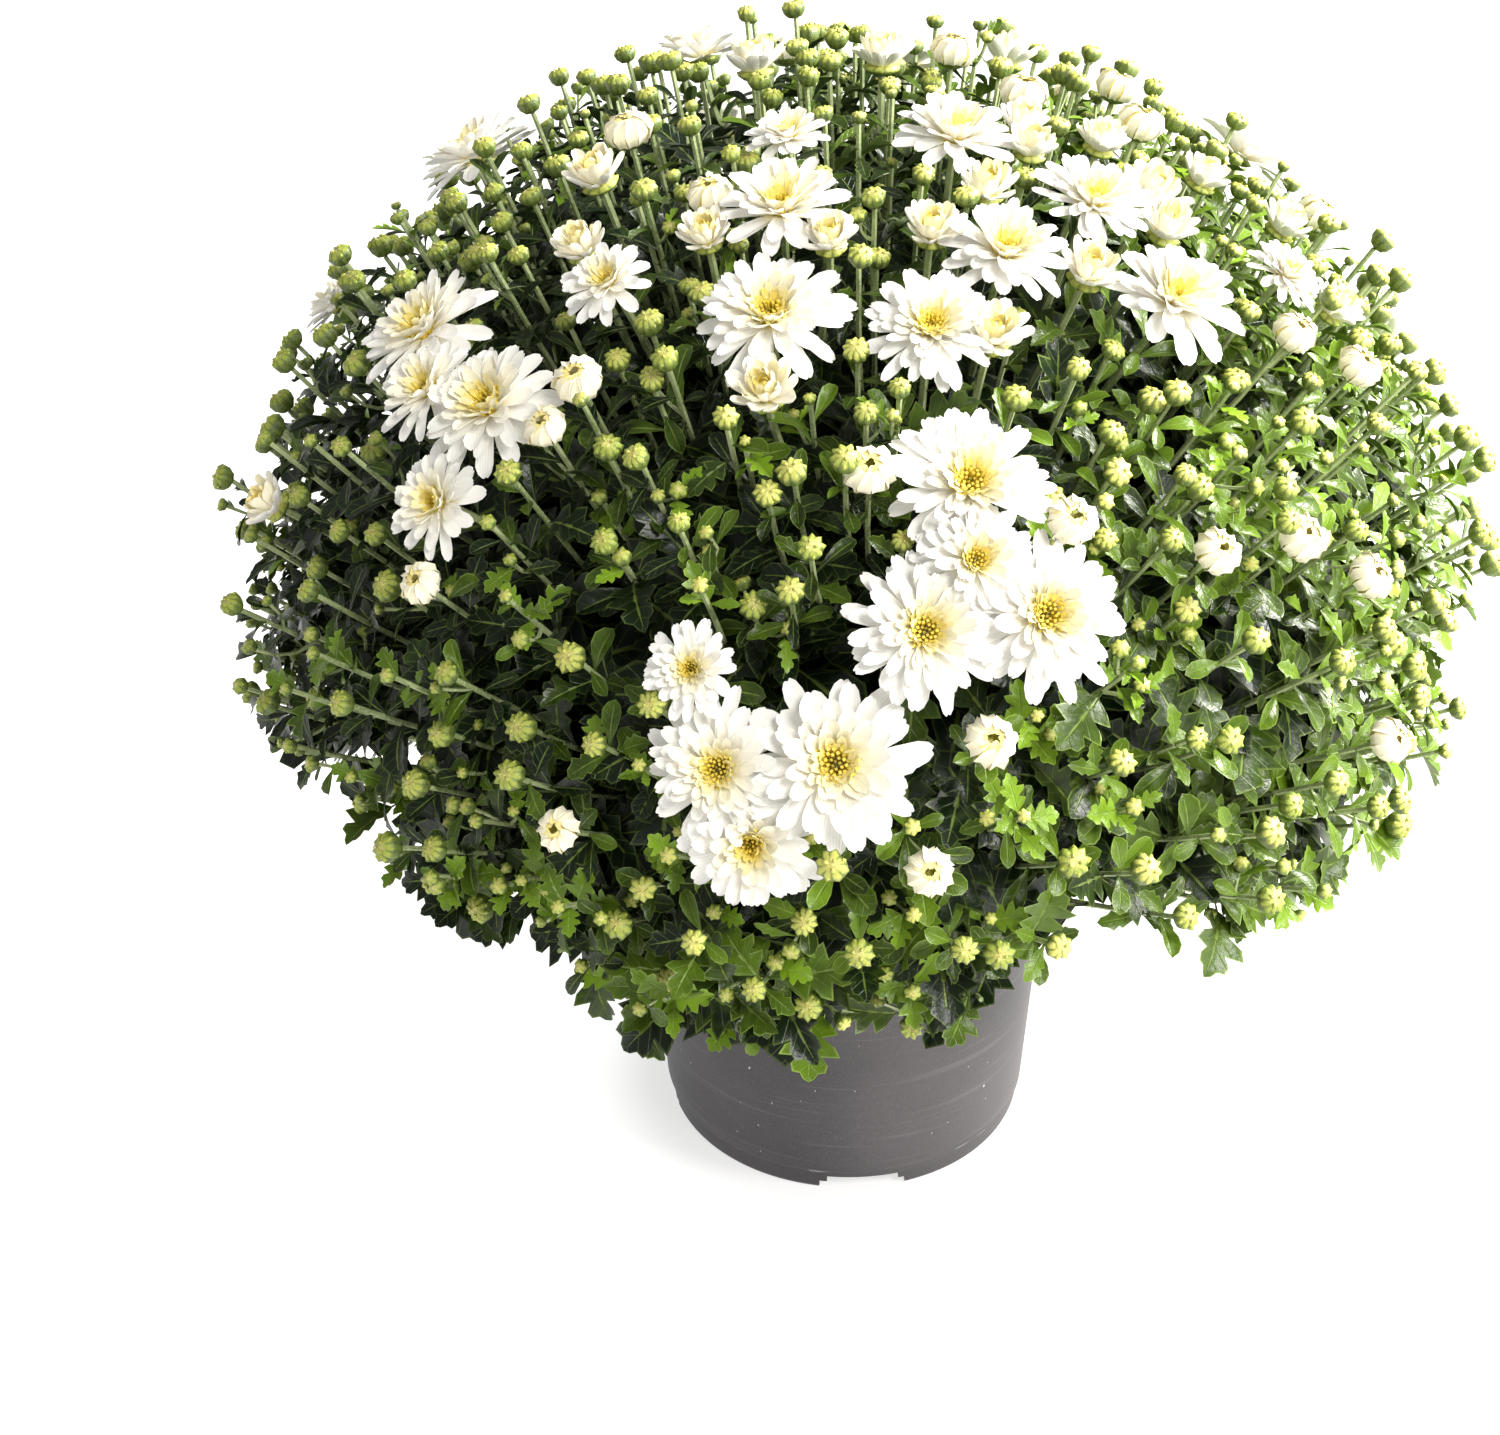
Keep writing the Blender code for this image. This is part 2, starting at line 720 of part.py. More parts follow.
def spread_points(bm):
    """A body's corners, and the middles of its edges."""
    corners = [v.co.copy() for v in bm.verts]
    middles = [(e.verts[0].co + e.verts[1].co) / 2 for e in bm.edges]
    return corners + middles


def placed(bm, frame, number, blooms, others=()):
    """The body moved into its frame, if it is clear there."""
    bm.transform(frame)
    tree = BVHTree.FromBMesh(bm)
    if clear_points(spread_points(bm), number, blooms) and not any(tree.overlap(other) for other in others):
        return bm
    bm.free()
    return None


def random_direction(number, rng):
    """A direction inside a spray's space."""
    while True:
        rise = rng.random()
        direction = heading(rng.uniform(-180, 180)) * math.sqrt(1 - rise * rise) + Vector((0, 0, rise))
        inside = room(HEART + direction * DOME_RADIUS, number) > CORE_MARGIN
        if inside and elevation(direction) > lowest(direction):
            return direction


def core_skin(tree, direction):
    """The point where a direction from the heart leaves the core, or None where it misses."""
    start = HEART + direction * 2 * DOME_RADIUS
    hit = tree.ray_cast(start, -direction, 3 * DOME_RADIUS)[0]
    return hit if hit and (hit - HEART).dot(direction) > CORE_START * 1.5 else None


def core_foot(tree, point, number):
    """The nearest place to a point at which something can be rooted in a spray's core."""
    skin = tree.find_nearest(HEART + (point - HEART) * CORE_SHARE)[0]
    middle = HEART + SITES[number] * reach(SITES[number]) * CORE_SHARE / 2
    return skin + (middle - skin).normalized() * ROOT_DEPTH


def shoot_piece(number, tree, direction, blooms, others, rng):
    """A bud on its stalk, or nothing where it would meet a bloom."""
    skin = core_skin(tree, direction)
    if skin is None:
        return None
    top = HEART + direction * reach(direction) * rng.uniform(*BUD_TOPS)
    stalk = (top - skin).length + ROOT_DEPTH
    mesh = bud_mesh(stalk, rng.uniform(*BUD_SIZES))
    return placed(mesh, frame_along(direction, top, Vector((0, 0, 1))), number, blooms, others)


def leaf_piece(number, tree, direction, blooms, others, rng):
    """A leaf that lies over the core on its own stalk, lobed or entire."""
    skin = core_skin(tree, direction)
    if skin is None:
        return None
    out = frame_along(direction, Vector(), Vector((0, 0, 1))).to_3x3()
    turn = rng.uniform(0, math.tau)
    lean = math.radians(rng.uniform(*LEAF_LEAN))
    level = Vector((math.cos(turn), math.sin(turn), 0)) * math.cos(lean)
    along = out @ (level + Vector((0, 0, math.sin(lean))))
    face = (direction - along * direction.dot(along)).normalized()
    lobed = rng.random() < LOBED_CHANCE
    length = (LOBED_LENGTH if lobed else ENTIRE_LENGTH) * rng.uniform(*LEAF_SIZES)
    foot = HEART + direction * reach(direction) * rng.uniform(*LEAF_SHARE)
    frame = frame_along(face, foot, along)
    root = frame.inverted() @ (skin - direction * ROOT_DEPTH)
    mesh = leaf_mesh(LOBED_HALF if lobed else ENTIRE_HALF, length, LEAF_DROOP, root)
    return placed(mesh, frame, number, blooms, others)


def under_leaf(number, core, blooms, others, rng):
    """A leaf below the core, held out and a little down."""
    foot, level = under_foot(core, rng)
    side = level.cross(Vector((0, 0, 1)))
    along = (level + side * rng.uniform(-0.8, 0.8) - Vector((0, 0, rng.uniform(0.1, 0.7)))).normalized()
    face = (Vector((0, 0, 1)) - along * along.z).normalized()
    length = LOBED_LENGTH * rng.uniform(*LEAF_SIZES)
    mesh = leaf_mesh(LOBED_HALF, length, LEAF_DROOP, Vector((-2 * ROOT_DEPTH, 0, 0)))
    return placed(mesh, frame_along(face, foot + along * ROOT_DEPTH, along), number, blooms, others)


def side_shoots(number, tree, blooms, collection, material):
    """The listed shoots that this spray carries, each a bud with lobed leaves hanging under it."""
    pieces = []
    for azimuth, out, height in SIDE_SHOOTS:
        tip = heading(azimuth) * out * MM + Vector((0, 0, height * MM))
        if owner(tip) != number:
            continue
        foot = core_foot(tree, tip, number)
        axis = (tip - foot).normalized()
        upright = frame_along(axis, tip, Vector((0, 0, 1)))
        bud = placed(bud_mesh((tip - foot).length, BUD_SIZES[0]), upright, number, blooms)
        if bud is None:
            continue
        pieces.append(add_object("bud", bud, collection, material))
        for k, turn in enumerate((-HANGING_LEAN, HANGING_LEAN, 0)):
            root = foot + (tip - foot) * (HANGING_ROOT + HANGING_STEP * k)
            level = heading(azimuth + turn)
            along = (level * 0.6 - Vector((0, 0, 1))).normalized()
            length = LOBED_LENGTH * HANGING_SIZE
            mesh = leaf_mesh(LOBED_HALF, length, LEAF_DROOP, Vector((-STALK_RADIUS, 0, 0)))
            leaf = placed(mesh, frame_along(level, root, along), number, blooms)
            if leaf is not None:
                pieces.append(add_object("leaf", leaf, collection, material))
    return pieces


def peduncles(number, tree, blooms, collection, material):
    """The stalks of the blooms that this spray carries."""
    pieces = []
    for bloom in blooms:
        if owner(bloom.base) != number:
            continue
        axis = bloom.axis
        foot = core_foot(tree, bloom.base, number)
        stalk = (bloom.base - foot).length
        bm = peduncle_mesh(stalk, CUP_SHARE * bloom.reach)
        bm.transform(bloom.frame)
        shift = foot - (bloom.base - axis * stalk)
        for vertex in bm.verts:
            height = (vertex.co - bloom.base).dot(axis)
            if height < -0.5 * stalk:
                vertex.co += shift
        pieces.append(add_object("peduncle", bm, collection, material))
    return pieces


def make_spray(number, blooms, collection, material):
    rng = random.Random(100 + number)
    core = make_core(number, rng, collection, material)
    tree = tree_of(core)
    pieces = [make_stem(number, collection, material)]
    pieces += peduncles(number, tree, blooms, collection, material)
    pieces += side_shoots(number, tree, blooms, collection, material)
    others = [tree_of(piece) for piece in pieces]
    for name, grow, count, spacing in (
        ("bud", shoot_piece, SHOOTS_PER_SPRAY, SHOOT_SPACING),
        ("leaf", leaf_piece, LEAVES_PER_SPRAY, LEAF_SPACING),
    ):
        tips = []
        for _ in range(MOST_TRIES):
            direction = random_direction(number, rng)
            tip = HEART + direction * reach(direction)
            if len(tips) == count or any((tip - other).length < spacing for other in tips):
                continue
            mesh = grow(number, tree, direction, blooms, others, rng)
            if mesh is not None:
                tips.append(tip)
                pieces.append(add_object(name, mesh, collection, material))
                others.append(tree_of(pieces[-1]))
    if elevation(SITES[number]) < UNDER_SPRAY:
        for _ in range(UNDER_TRIES):
            mesh = under_leaf(number, core, blooms, others, rng)
            if mesh is not None:
                pieces.append(add_object("leaf", mesh, collection, material))
                others.append(tree_of(pieces[-1]))
    return joined(core, pieces)


def make_blooms(blooms, collection, petals, florets):
    rng = random.Random(7)
    made = [make_bloom(k, bloom, rng, collection, petals) for k, bloom in enumerate(blooms)]
    for group in touching_groups(made):
        joined(group[0], group[1:])
    for k, bloom in enumerate(blooms):
        if bloom.stage == "full":
            make_eye(k, bloom, collection, florets)


def main():
    clear_scene()
    parts = new_collection("pot_chrysanthemum")
    pot_cutters = new_collection("pot_cutters")
    soil_cutters = new_collection("soil_cutters")
    plastic = new_material("pot_plastic", (0.085, 0.080, 0.080), 0.55)
    earth = new_material("soil", (0.030, 0.020, 0.014), 0.95)
    foliage = new_material("foliage", (0.045, 0.115, 0.020), 0.5)
    petals = new_material("petals", (0.85, 0.84, 0.76), 0.6)
    florets = new_material("florets", (0.80, 0.60, 0.06), 0.7)
    make_pot(parts, pot_cutters, plastic)
    make_soil(parts, soil_cutters, earth)
    blooms = [Bloom(*row) for row in BLOOMS]
    make_blooms(blooms, parts, petals, florets)
    for number in range(SPRAYS):
        make_spray(number, blooms, parts, foliage)


main()
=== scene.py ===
"""The looks of a pot chrysanthemum: fine leaves, stems, buds, blooms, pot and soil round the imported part.

Metres, +Z up. Azimuth 0 is the front, towards -Y, and a positive azimuth turns to the right, towards +X.
"""

import json
import math
import random

import bmesh
import bpy
import numpy as np
from mathutils import Matrix, Vector, noise

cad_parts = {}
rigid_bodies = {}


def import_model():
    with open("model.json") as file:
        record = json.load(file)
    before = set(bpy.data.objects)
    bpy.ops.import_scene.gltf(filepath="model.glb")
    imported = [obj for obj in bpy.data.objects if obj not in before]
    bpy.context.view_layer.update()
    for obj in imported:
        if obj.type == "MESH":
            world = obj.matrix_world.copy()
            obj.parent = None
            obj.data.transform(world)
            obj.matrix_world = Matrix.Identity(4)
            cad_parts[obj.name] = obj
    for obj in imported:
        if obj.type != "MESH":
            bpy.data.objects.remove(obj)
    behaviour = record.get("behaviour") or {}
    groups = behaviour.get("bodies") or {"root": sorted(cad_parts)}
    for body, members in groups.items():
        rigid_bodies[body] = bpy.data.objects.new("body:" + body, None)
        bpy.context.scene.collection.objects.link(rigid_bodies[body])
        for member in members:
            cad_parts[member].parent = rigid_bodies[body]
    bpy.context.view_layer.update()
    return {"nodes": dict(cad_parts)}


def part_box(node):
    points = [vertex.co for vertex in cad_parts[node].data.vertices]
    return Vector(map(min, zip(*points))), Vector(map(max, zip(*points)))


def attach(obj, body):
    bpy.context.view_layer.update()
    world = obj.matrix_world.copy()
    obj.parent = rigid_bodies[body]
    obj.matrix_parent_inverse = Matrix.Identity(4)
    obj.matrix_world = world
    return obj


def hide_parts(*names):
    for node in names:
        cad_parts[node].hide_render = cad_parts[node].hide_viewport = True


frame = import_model()

MM = 0.001
UP = Vector((0, 0, 1))
ROOM_LIGHT = 0.40

# The camera, at the photograph's height, distance and tilt
CAMERA_PLACE = (-0.041, -1.013, 0.857)
CAMERA_TILT = 56.5
CAMERA_LENS = 72
CAMERA_SENSOR = 36

# The dome of foliage, as in the part
DOME_RADIUS = 240 * MM
DOME_MIDDLE = 267 * MM
DOME_UP = 191 * MM
DOME_DOWN = 150 * MM
HEART = Vector((0, 0, 150 * MM))
SPRAYS = 12
LOWEST_SPRAY = 20
GOLDEN_ANGLE = 137.508
GOLDEN_TURN = math.radians(GOLDEN_ANGLE)
SOIL_TOP = 128 * MM
STEM_SINK = 25 * MM
CROWN_RADIUS = 30 * MM

# The lowest height angle of the foliage by azimuth: it hangs down over the front of the pot
SKIRT = (
    (-180, -34), (-120, -34), (-86, -28), (-72, -14), (-62, -8), (-52, -11), (-48, -22), (-38, -24),
    (-34, -9), (-31, -14), (-27, -34), (-16, -36), (-8, -31), (-2, -20), (3, -17), (6, -34), (12, -33),
    (15, -6), (22, -7), (31, -12), (37, -19), (42, -12), (46, -21), (51, -20), (60, -12), (70, -14),
    (86, -28), (120, -34), (180, -34),
)

# How far below that edge a leaf's tip may hang, and how near the skin it has to be for the edge to count
SKIRT_HANG = 7
SKIRT_DEPTH = 0.82

# Rounds of shoots: how many are tried, the lowest rise, the first azimuth, the room each needs, its leaves
SHOOT_ROUNDS = ((590, -0.60, 0, 16 * MM, 12), (230, 0.52, 61, 9.5 * MM, 5))

# How far a shoot's tip lies out towards the skin, as a share, and how much further at the back left, in
# degrees of azimuth and height angle
SHOOT_REACH = (0.94, 1.015)
SHOOT_JITTER = 9 * MM
SHOULDER_RISE = 0.035
SHOULDER_MIDDLE = (-125, 66)
SHOULDER_SPREAD = (40, 16)

# A shoot's path: where it parts from its spray's stem, how late it bends, how it leans up, and its steps
SHOOT_START = (0.30, 0.42)
SHOOT_BEND = 0.42
SHOOT_LIFT = 0.18
SHOOT_STEPS = 9

# Radii from foot to tip of the green stems, the woody ones, the blooms' stalks and those of side buds
STEM_RADII = (1.5 * MM, 0.95 * MM)
TRUNK_RADII = (2.5 * MM, 1.8 * MM)
BLOOM_STALK_RADII = (1.9 * MM, 1.3 * MM)
SIDE_STALK_RADII = (0.8 * MM, 0.7 * MM, 0.65 * MM, 0.8 * MM)

# How far a woody stem reaches out of the heart and rises before it bends, and where a bloom's stalk bends
TRUNK_LENGTH = 95 * MM
TRUNK_RISE = 30 * MM
BLOOM_STALK_BEND = 45 * MM

# A shoot is low below one height of its tip, and gets high over a span above another
LOW_TIP = 236 * MM
HIGH_TIP = 310 * MM
HIGH_SPAN = 120 * MM

# Leaves, by their distance in mm back from a shoot's tip, with extra ones on full shoots to close the gaps
LEAF_STEPS = (5, 9, 13, 18, 23, 29, 35, 42, 50, 60, 73, 88)
EXTRA_STEPS = (21, 33, 102, 117)

# Distances back from the tip: the bare stalk of a bud, where leaves reach their full size, where they get
# plainer outlines, and where the small leaves of a young shoot end
BARE_TIP = 15 * MM
LARGEST_BACK = 80 * MM
DEEP_BACK = 44 * MM
INNER_BACK = 58 * MM
YOUNG_BACK = 22 * MM

# How many shoots are young, the size of their leaves, and how far a leaf may reach past the dome's skin
YOUNG_SHARE = 0.2
YOUNG_SIZE = 0.62
LEAF_REACH = 1.1

# A leaf's length at the tip and what it gains further back, the degrees it stands off its stem and what it
# sags further back, its width, fold, curl and wave, the wave's ripples, and how much narrower it is high up
LOBED_LENGTH = (20 * MM, 22 * MM)
ENTIRE_LENGTH = (12.5 * MM, 13 * MM)
LOW_LONGER = 3 * MM
LEAF_SPREAD = (32, 72)
LEAF_SAG = 18
LEAF_WIDTHS = (0.68, 1.1)
LEAF_FOLDS = (0.1, 0.6)
LEAF_CURLS = (0.2, 1.0)
LEAF_WAVES = (0.0, 0.14)
LEAF_RIPPLES = 9
HIGH_NARROWER = 0.3

# Fewer leaves on the shoots at the back, fewest low down there, and plainer outlines
BACK_TIP = 50 * MM
BACK_LEAVES = 10
SKIRT_TIP = 225 * MM
SKIRT_LEAVES = 8
PLAIN_BEHIND = 15 * MM
PLAINER = {"lobed": "deep", "toothed": "entire"}

# Painted light and shade in a leaf's tone: lighter to the right, darker to the left, and paler at the top
# right
PAINTED_LIGHT_RIGHT = 0.12
PAINTED_SHADE_LEFT = 0.30
PAINTED_LIGHT_TOP_RIGHT = 0.35

# Buds: how many low shoots have none, how many are small, widths in mm, how much smaller they are high up,
# how much of their ripeness shows at the middle, with painted shade that dulls them further towards the
# left, and the width up to which a simple one will do
BUDLESS_SHARE = 0.45
SMALL_BUD_SHARE = 0.15
BUD_WIDTHS = (9, 12.4)
YOUNG_BUD_WIDTHS = (5, 7.5)
SIDE_BUD_WIDTHS = (4.4, 7.4)
HIGH_BUD_SMALLER = 0.14
PAINTED_BUD_LIGHT_MIDDLE = 0.9
SMALL_BUD = 7.5 * MM

# Knobs round a bud's top, as shares of its width: radius, height, size, tilt and paleness, and their tone
OUTER_KNOB = (0.37, 0.52, 0.085, 1.0, 0.9)
INNER_KNOB = (0.17, 0.68, 0.075, 0.35, 1.0)
KNOB_RIDGE = 0.9
KNOB_HEIGHTS = (0.62, 0.75, 0.95, 0.75, 0.9, 0.5)

# Blooms, as in the part, with the last four added: azimuth, height angle, petal reach in mm, stage, and
# how many degrees the bloom tips down
BLOOMS = (
    (-65, 44, 25, "full"), (-56, 40, 19, "open"), (-47, 42, 25, "full"), (-46, 32, 19, "open", 14),
    (-43, 57, 16, "open", 10), (-54, 59, 12, "half"), (-16, 58, 26, "full"), (-14, 50.5, 14, "half"),
    (-22, 70, 24, "open"), (-34, 65, 12, "half"), (-9, 67, 12, "half"), (-38, 79, 15, "open"),
    (-140, 75, 14, "half"), (170, 79, 14, "half"), (42, 79, 22, "open"), (8, 57, 23, "full"),
    (17, 56, 14, "half"), (13, 68, 13, "half"), (25, 64, 22, "open"), (52, 66, 22, "open"),
    (47, 54, 24, "open"), (68, 63, 15, "half"), (80, 69, 12, "half"), (75, 76, 12, "half"),
    (84, 59, 12, "half"), (9.5, 42, 27, "full"), (9, 35, 20, "open", 6), (4, 29, 25, "full", 6),
    (15, 29.5, 26, "full", 6), (-16, 24, 16, "open"), (-13, 15, 24, "full"), (-3.5, 16.5, 28, "full"),
    (-10, 8, 23, "open", 12), (-72, 65, 14, "half"), (84, 50, 12, "half"), (69, 49, 15, "open"),
    (73, 43, 12, "half"), (-73, 18, 13, "half"), (-108, 50, 23, "open"), (-128, 37, 25, "open"),
    (-152, 57, 22, "open"), (-165, 28, 25, "open"), (172, 46, 24, "open"), (148, 62, 14, "half"),
    (140, 26, 25, "open"), (118, 44, 22, "open"), (108, 18, 14, "half"), (-112, 20, 16, "open"),
    (60, 60, 13, "half"), (38, 60, 14, "half"), (33, 72, 13, "half"), (61, 74, 12, "half"),
)

# By stage: how many florets the eye has, how deep the bloom sits in the foliage and how wide its cup is, as
# shares of its reach, like the eye's radius and height
EYE_FLORETS = {"full": 64, "open": 48, "half": 18}
BLOOM_SINK = {"full": 0.36, "open": 0.36, "half": 0.8}
CUP_SHARES = {"full": 0.46, "open": 0.5, "half": 0.95}
EYE_RADIUS = 0.165
EYE_FOOT = 0.14

# Opening buds: azimuth, height angle and full width in mm, and their size, the share of the way out to the
# skin, their petals' reach by their width, the room they need, and how flat they are
OPENING_BUDS = (
    (-83, 69, 15), (-68, 66, 15), (-101, 52, 16), (-37, 47, 15), (-38, 42, 13), (-1, 43, 15), (19, 37, 15),
    (-44, 24, 13), (-26, 5, 13), (9, 18, 15), (4, 5, 14), (98, 76, 15), (43, 29, 15), (50, 22, 14),
    (33, 31, 14), (49, 4, 14), (-40, 69, 14), (62, 58, 15), (95, 65, 15), (96, 44, 15), (60, 45, 14),
    (66, 38, 14), (146, 75, 15), (150, 40, 14), (-140, 20, 14), (120, 62, 14), (-170, 50, 15),
)
OPENING_SIZE = 0.9
OPENING_REACH = 0.97
OPENING_SHARE = 1.4
OPENING_ROOM = 3 * MM
BUD_FLATNESS = 0.86

# Leaf outlines, as shares of the length: along to an edge point, across to it, and where the vein to it
# leaves the midrib
LOBED = (
    (0.00, 0.016, 0.00), (0.16, 0.022, 0.16), (0.30, 0.210, 0.26), (0.42, 0.315, 0.33),
    (0.47, 0.130, 0.41), (0.56, 0.290, 0.47), (0.67, 0.355, 0.53), (0.69, 0.140, 0.62),
    (0.78, 0.215, 0.69), (0.87, 0.195, 0.76), (0.89, 0.105, 0.84), (0.96, 0.065, 0.92),
)
PLAIN_LOBED = (
    (0.00, 0.016, 0.00), (0.16, 0.022, 0.16), (0.33, 0.240, 0.27), (0.43, 0.310, 0.33),
    (0.47, 0.140, 0.43), (0.64, 0.360, 0.54), (0.70, 0.150, 0.64), (0.85, 0.200, 0.78),
)
ENTIRE = (
    (0.00, 0.028, 0.00), (0.20, 0.050, 0.18), (0.40, 0.140, 0.36), (0.60, 0.215, 0.54),
    (0.78, 0.230, 0.72), (0.92, 0.150, 0.88),
)
INNER = (
    (0.00, 0.016, 0.00), (0.28, 0.180, 0.24), (0.44, 0.310, 0.38), (0.66, 0.340, 0.58), (0.88, 0.180, 0.80),
)
TOOTHED = (
    (0.00, 0.026, 0.00), (0.20, 0.050, 0.18), (0.38, 0.130, 0.34), (0.55, 0.225, 0.48),
    (0.60, 0.160, 0.57), (0.72, 0.250, 0.66), (0.79, 0.165, 0.76), (0.92, 0.115, 0.88),
)
LEAF_THICKNESS = 0.4 * MM
VEIN_LEAN = 0.9

# Petals: shares of the length, and of the half width there
PETAL_ROWS = ((0.0, 0.4), (0.3, 0.7), (0.58, 0.96), (0.82, 1.0), (0.94, 0.74), (1.0, 0.34))
PETAL_COLUMNS = (-1.0, -0.5, 0.0, 0.5, 1.0)
SMALL_PETAL_ROWS = ((0.0, 0.45), (0.4, 0.85), (0.75, 1.0), (1.0, 0.45))
SMALL_PETAL_COLUMNS = (-1.0, 0.0, 1.0)
SMALL_PETAL_LENGTH = 0.52
PETAL_THICKNESS = 0.35 * MM

# Layers of petals by stage, as shares of the bloom's reach: count, length, half width, foot radius, foot
# height, rise in degrees at the foot and at the tip, cup, and how cream the petal is
LAYERS = {
    "full": (
        (14, 1.04, 0.120, 0.08, 0.05, 10, -14, 0.22, 0.0),
        (14, 0.93, 0.118, 0.09, 0.08, 20, 0, 0.26, 0.0),
        (14, 0.80, 0.108, 0.10, 0.10, 32, 14, 0.32, 0.04),
        (14, 0.66, 0.096, 0.11, 0.12, 44, 30, 0.40, 0.14),
        (14, 0.53, 0.080, 0.12, 0.14, 56, 46, 0.5, 0.3),
        (14, 0.40, 0.062, 0.13, 0.16, 66, 62, 0.6, 0.6),
        (15, 0.29, 0.044, 0.15, 0.17, 74, 76, 0.6, 0.95),
    ),
    "open": (
        (12, 1.02, 0.132, 0.08, 0.07, 14, -8, 0.24, 0.0),
        (12, 0.92, 0.128, 0.09, 0.10, 26, 6, 0.30, 0.0),
        (12, 0.80, 0.116, 0.10, 0.12, 40, 24, 0.38, 0.06),
        (12, 0.66, 0.100, 0.11, 0.14, 54, 44, 0.5, 0.2),
        (12, 0.50, 0.075, 0.12, 0.15, 66, 62, 0.6, 0.55),
        (13, 0.34, 0.050, 0.14, 0.16, 76, 80, 0.6, 0.95),
    ),
    "half": (
        (10, 1.02, 0.19, 0.10, 0.14, 26, 54, 0.42, 0.08),
        (10, 1.0, 0.17, 0.10, 0.18, 42, 84, 0.46, 0.3),
        (9, 0.88, 0.14, 0.10, 0.22, 56, 104, 0.52, 0.65),
        (9, 0.68, 0.10, 0.10, 0.26, 66, 112, 0.6, 1.0),
    ),
    "bud": (
        (11, 0.98, 0.120, 0.06, 0.02, -4, 164, -0.45, 0.3),
        (10, 0.92, 0.105, 0.05, 0.03, 2, 174, -0.4, 0.8),
    ),
}

# The pot's section, in steps in mm outwards and up from where each run is measured: from the lip, from the
# wall at the lip's height, from the low wall's radius, and from the middle of the base
LIP_RUN = ((-1.5, -0.2), (-1.1, 0), (-0.5, 0), (-0.1, -0.4), (0, -1), (0, -8), (-0.3, -8.8))
WALL_RUN = ((0.3, -9), (0, -9.4), (-1.6, -40), (-3.3, -80))
BAND_RUN = ((0.5, 18), (0.1, 10.8), (-0.3, 10.1), (-0.7, 9.5), (-0.8, 8.8))
FOOT_RUN = (
    (75.5, 2), (75.1, 0.9), (74.7, 0.3), (74.1, 0), (72.2, 0), (71.8, 0.4), (71.2, 6), (0, 6), (0, 7.5),
    (74.5, 7.5),
)
INNER_WALL_RUN = ((-1.5, -9),)
INNER_LIP_RUN = ((-1.5, -2), (-1.5, -0.2))

# How far the lip stands out from the wall, the low wall's radius, and the steps that the section turns in
LIP_STEP = 1.6 * MM
LOW_WALL = 77 * MM
POT_STEPS = 128

# The notches in the pot's foot, and the drain holes between them
BASE_RADIUS = 75 * MM
NOTCH_AZIMUTH = 4.7
NOTCH_SIZE = (16 * MM, 36 * MM, 14 * MM)
NOTCH_ROUND = 3 * MM
DRAIN_RADIUS = 5 * MM
DRAIN_PLACE = 52 * MM

# The soil's rings and the points in each, and how much narrower its foot is
SOIL_RINGS = (38, 96)
SOIL_TAPER = 9 * MM


def heading(azimuth):
    """The level direction at an azimuth."""
    turn = math.radians(azimuth)
    return Vector((math.sin(turn), -math.cos(turn), 0))


def dome_point(azimuth, height):
    """The point of the dome's skin at an azimuth and a height angle."""
    rise = math.radians(height)
    up = DOME_UP if height > 0 else DOME_DOWN
    level = heading(azimuth) * DOME_RADIUS * math.cos(rise)
    return level + Vector((0, 0, DOME_MIDDLE + up * math.sin(rise)))


def spray_sites():
    """The directions from the heart to the sprays, spread evenly by the golden angle."""
    low = math.sin(math.radians(LOWEST_SPRAY))
    sites = []
    for k in range(SPRAYS):
        rise = low + (1 - low) * (k + 0.5) / SPRAYS
        level = math.sqrt(1 - rise * rise)
        sites.append((heading(k * GOLDEN_ANGLE) * level + Vector((0, 0, rise))).normalized())
    return sites


SITES = spray_sites()


def owner(point):
    """The spray that a point belongs to."""
    offset = point - HEART
    return max(range(SPRAYS), key=lambda k: SITES[k].dot(offset))


def axes_along(axis, toward):
    """A turn whose +Z is the axis, and whose +X leans as near to a direction as it can."""
    z_axis = axis.normalized()
    x_axis = toward - z_axis * toward.dot(z_axis)
    if x_axis.length < 1e-5:
        x_axis = z_axis.orthogonal()
    x_axis.normalize()
    return Matrix((x_axis, z_axis.cross(x_axis), z_axis)).transposed()


def skirt(azimuth):
    """The lowest height angle of the foliage at an azimuth."""
    places, lows = zip(*SKIRT)
    return float(np.interp(azimuth, places, lows))


class Bloom:
    """One bloom's place, as in the part: its base, its axis, its reach and its stage."""

    def __init__(self, number, azimuth, height, petal_reach, stage, tip=0):
        skin = dome_point(azimuth, height)
        out = (skin - HEART).normalized()
        level = heading(azimuth)
        rise = math.asin(out.z) - math.radians(tip)
        self.number = number
        self.stage = stage
        self.reach = petal_reach * MM
        self.axis = level * math.cos(rise) + Vector((0, 0, math.sin(rise)))
        self.base = skin - out * self.reach * BLOOM_SINK[stage]
        self.turn = axes_along(self.axis, UP)

    def holds(self, point, margin):
        """Whether a point lies in the space that the bloom fills, or within a margin of it."""
        offset = point - self.base
        height = offset.dot(self.axis)
        across = (offset - self.axis * height).length
        return -margin < height < self.reach * 0.9 + margin and across < self.reach * 0.92 + margin


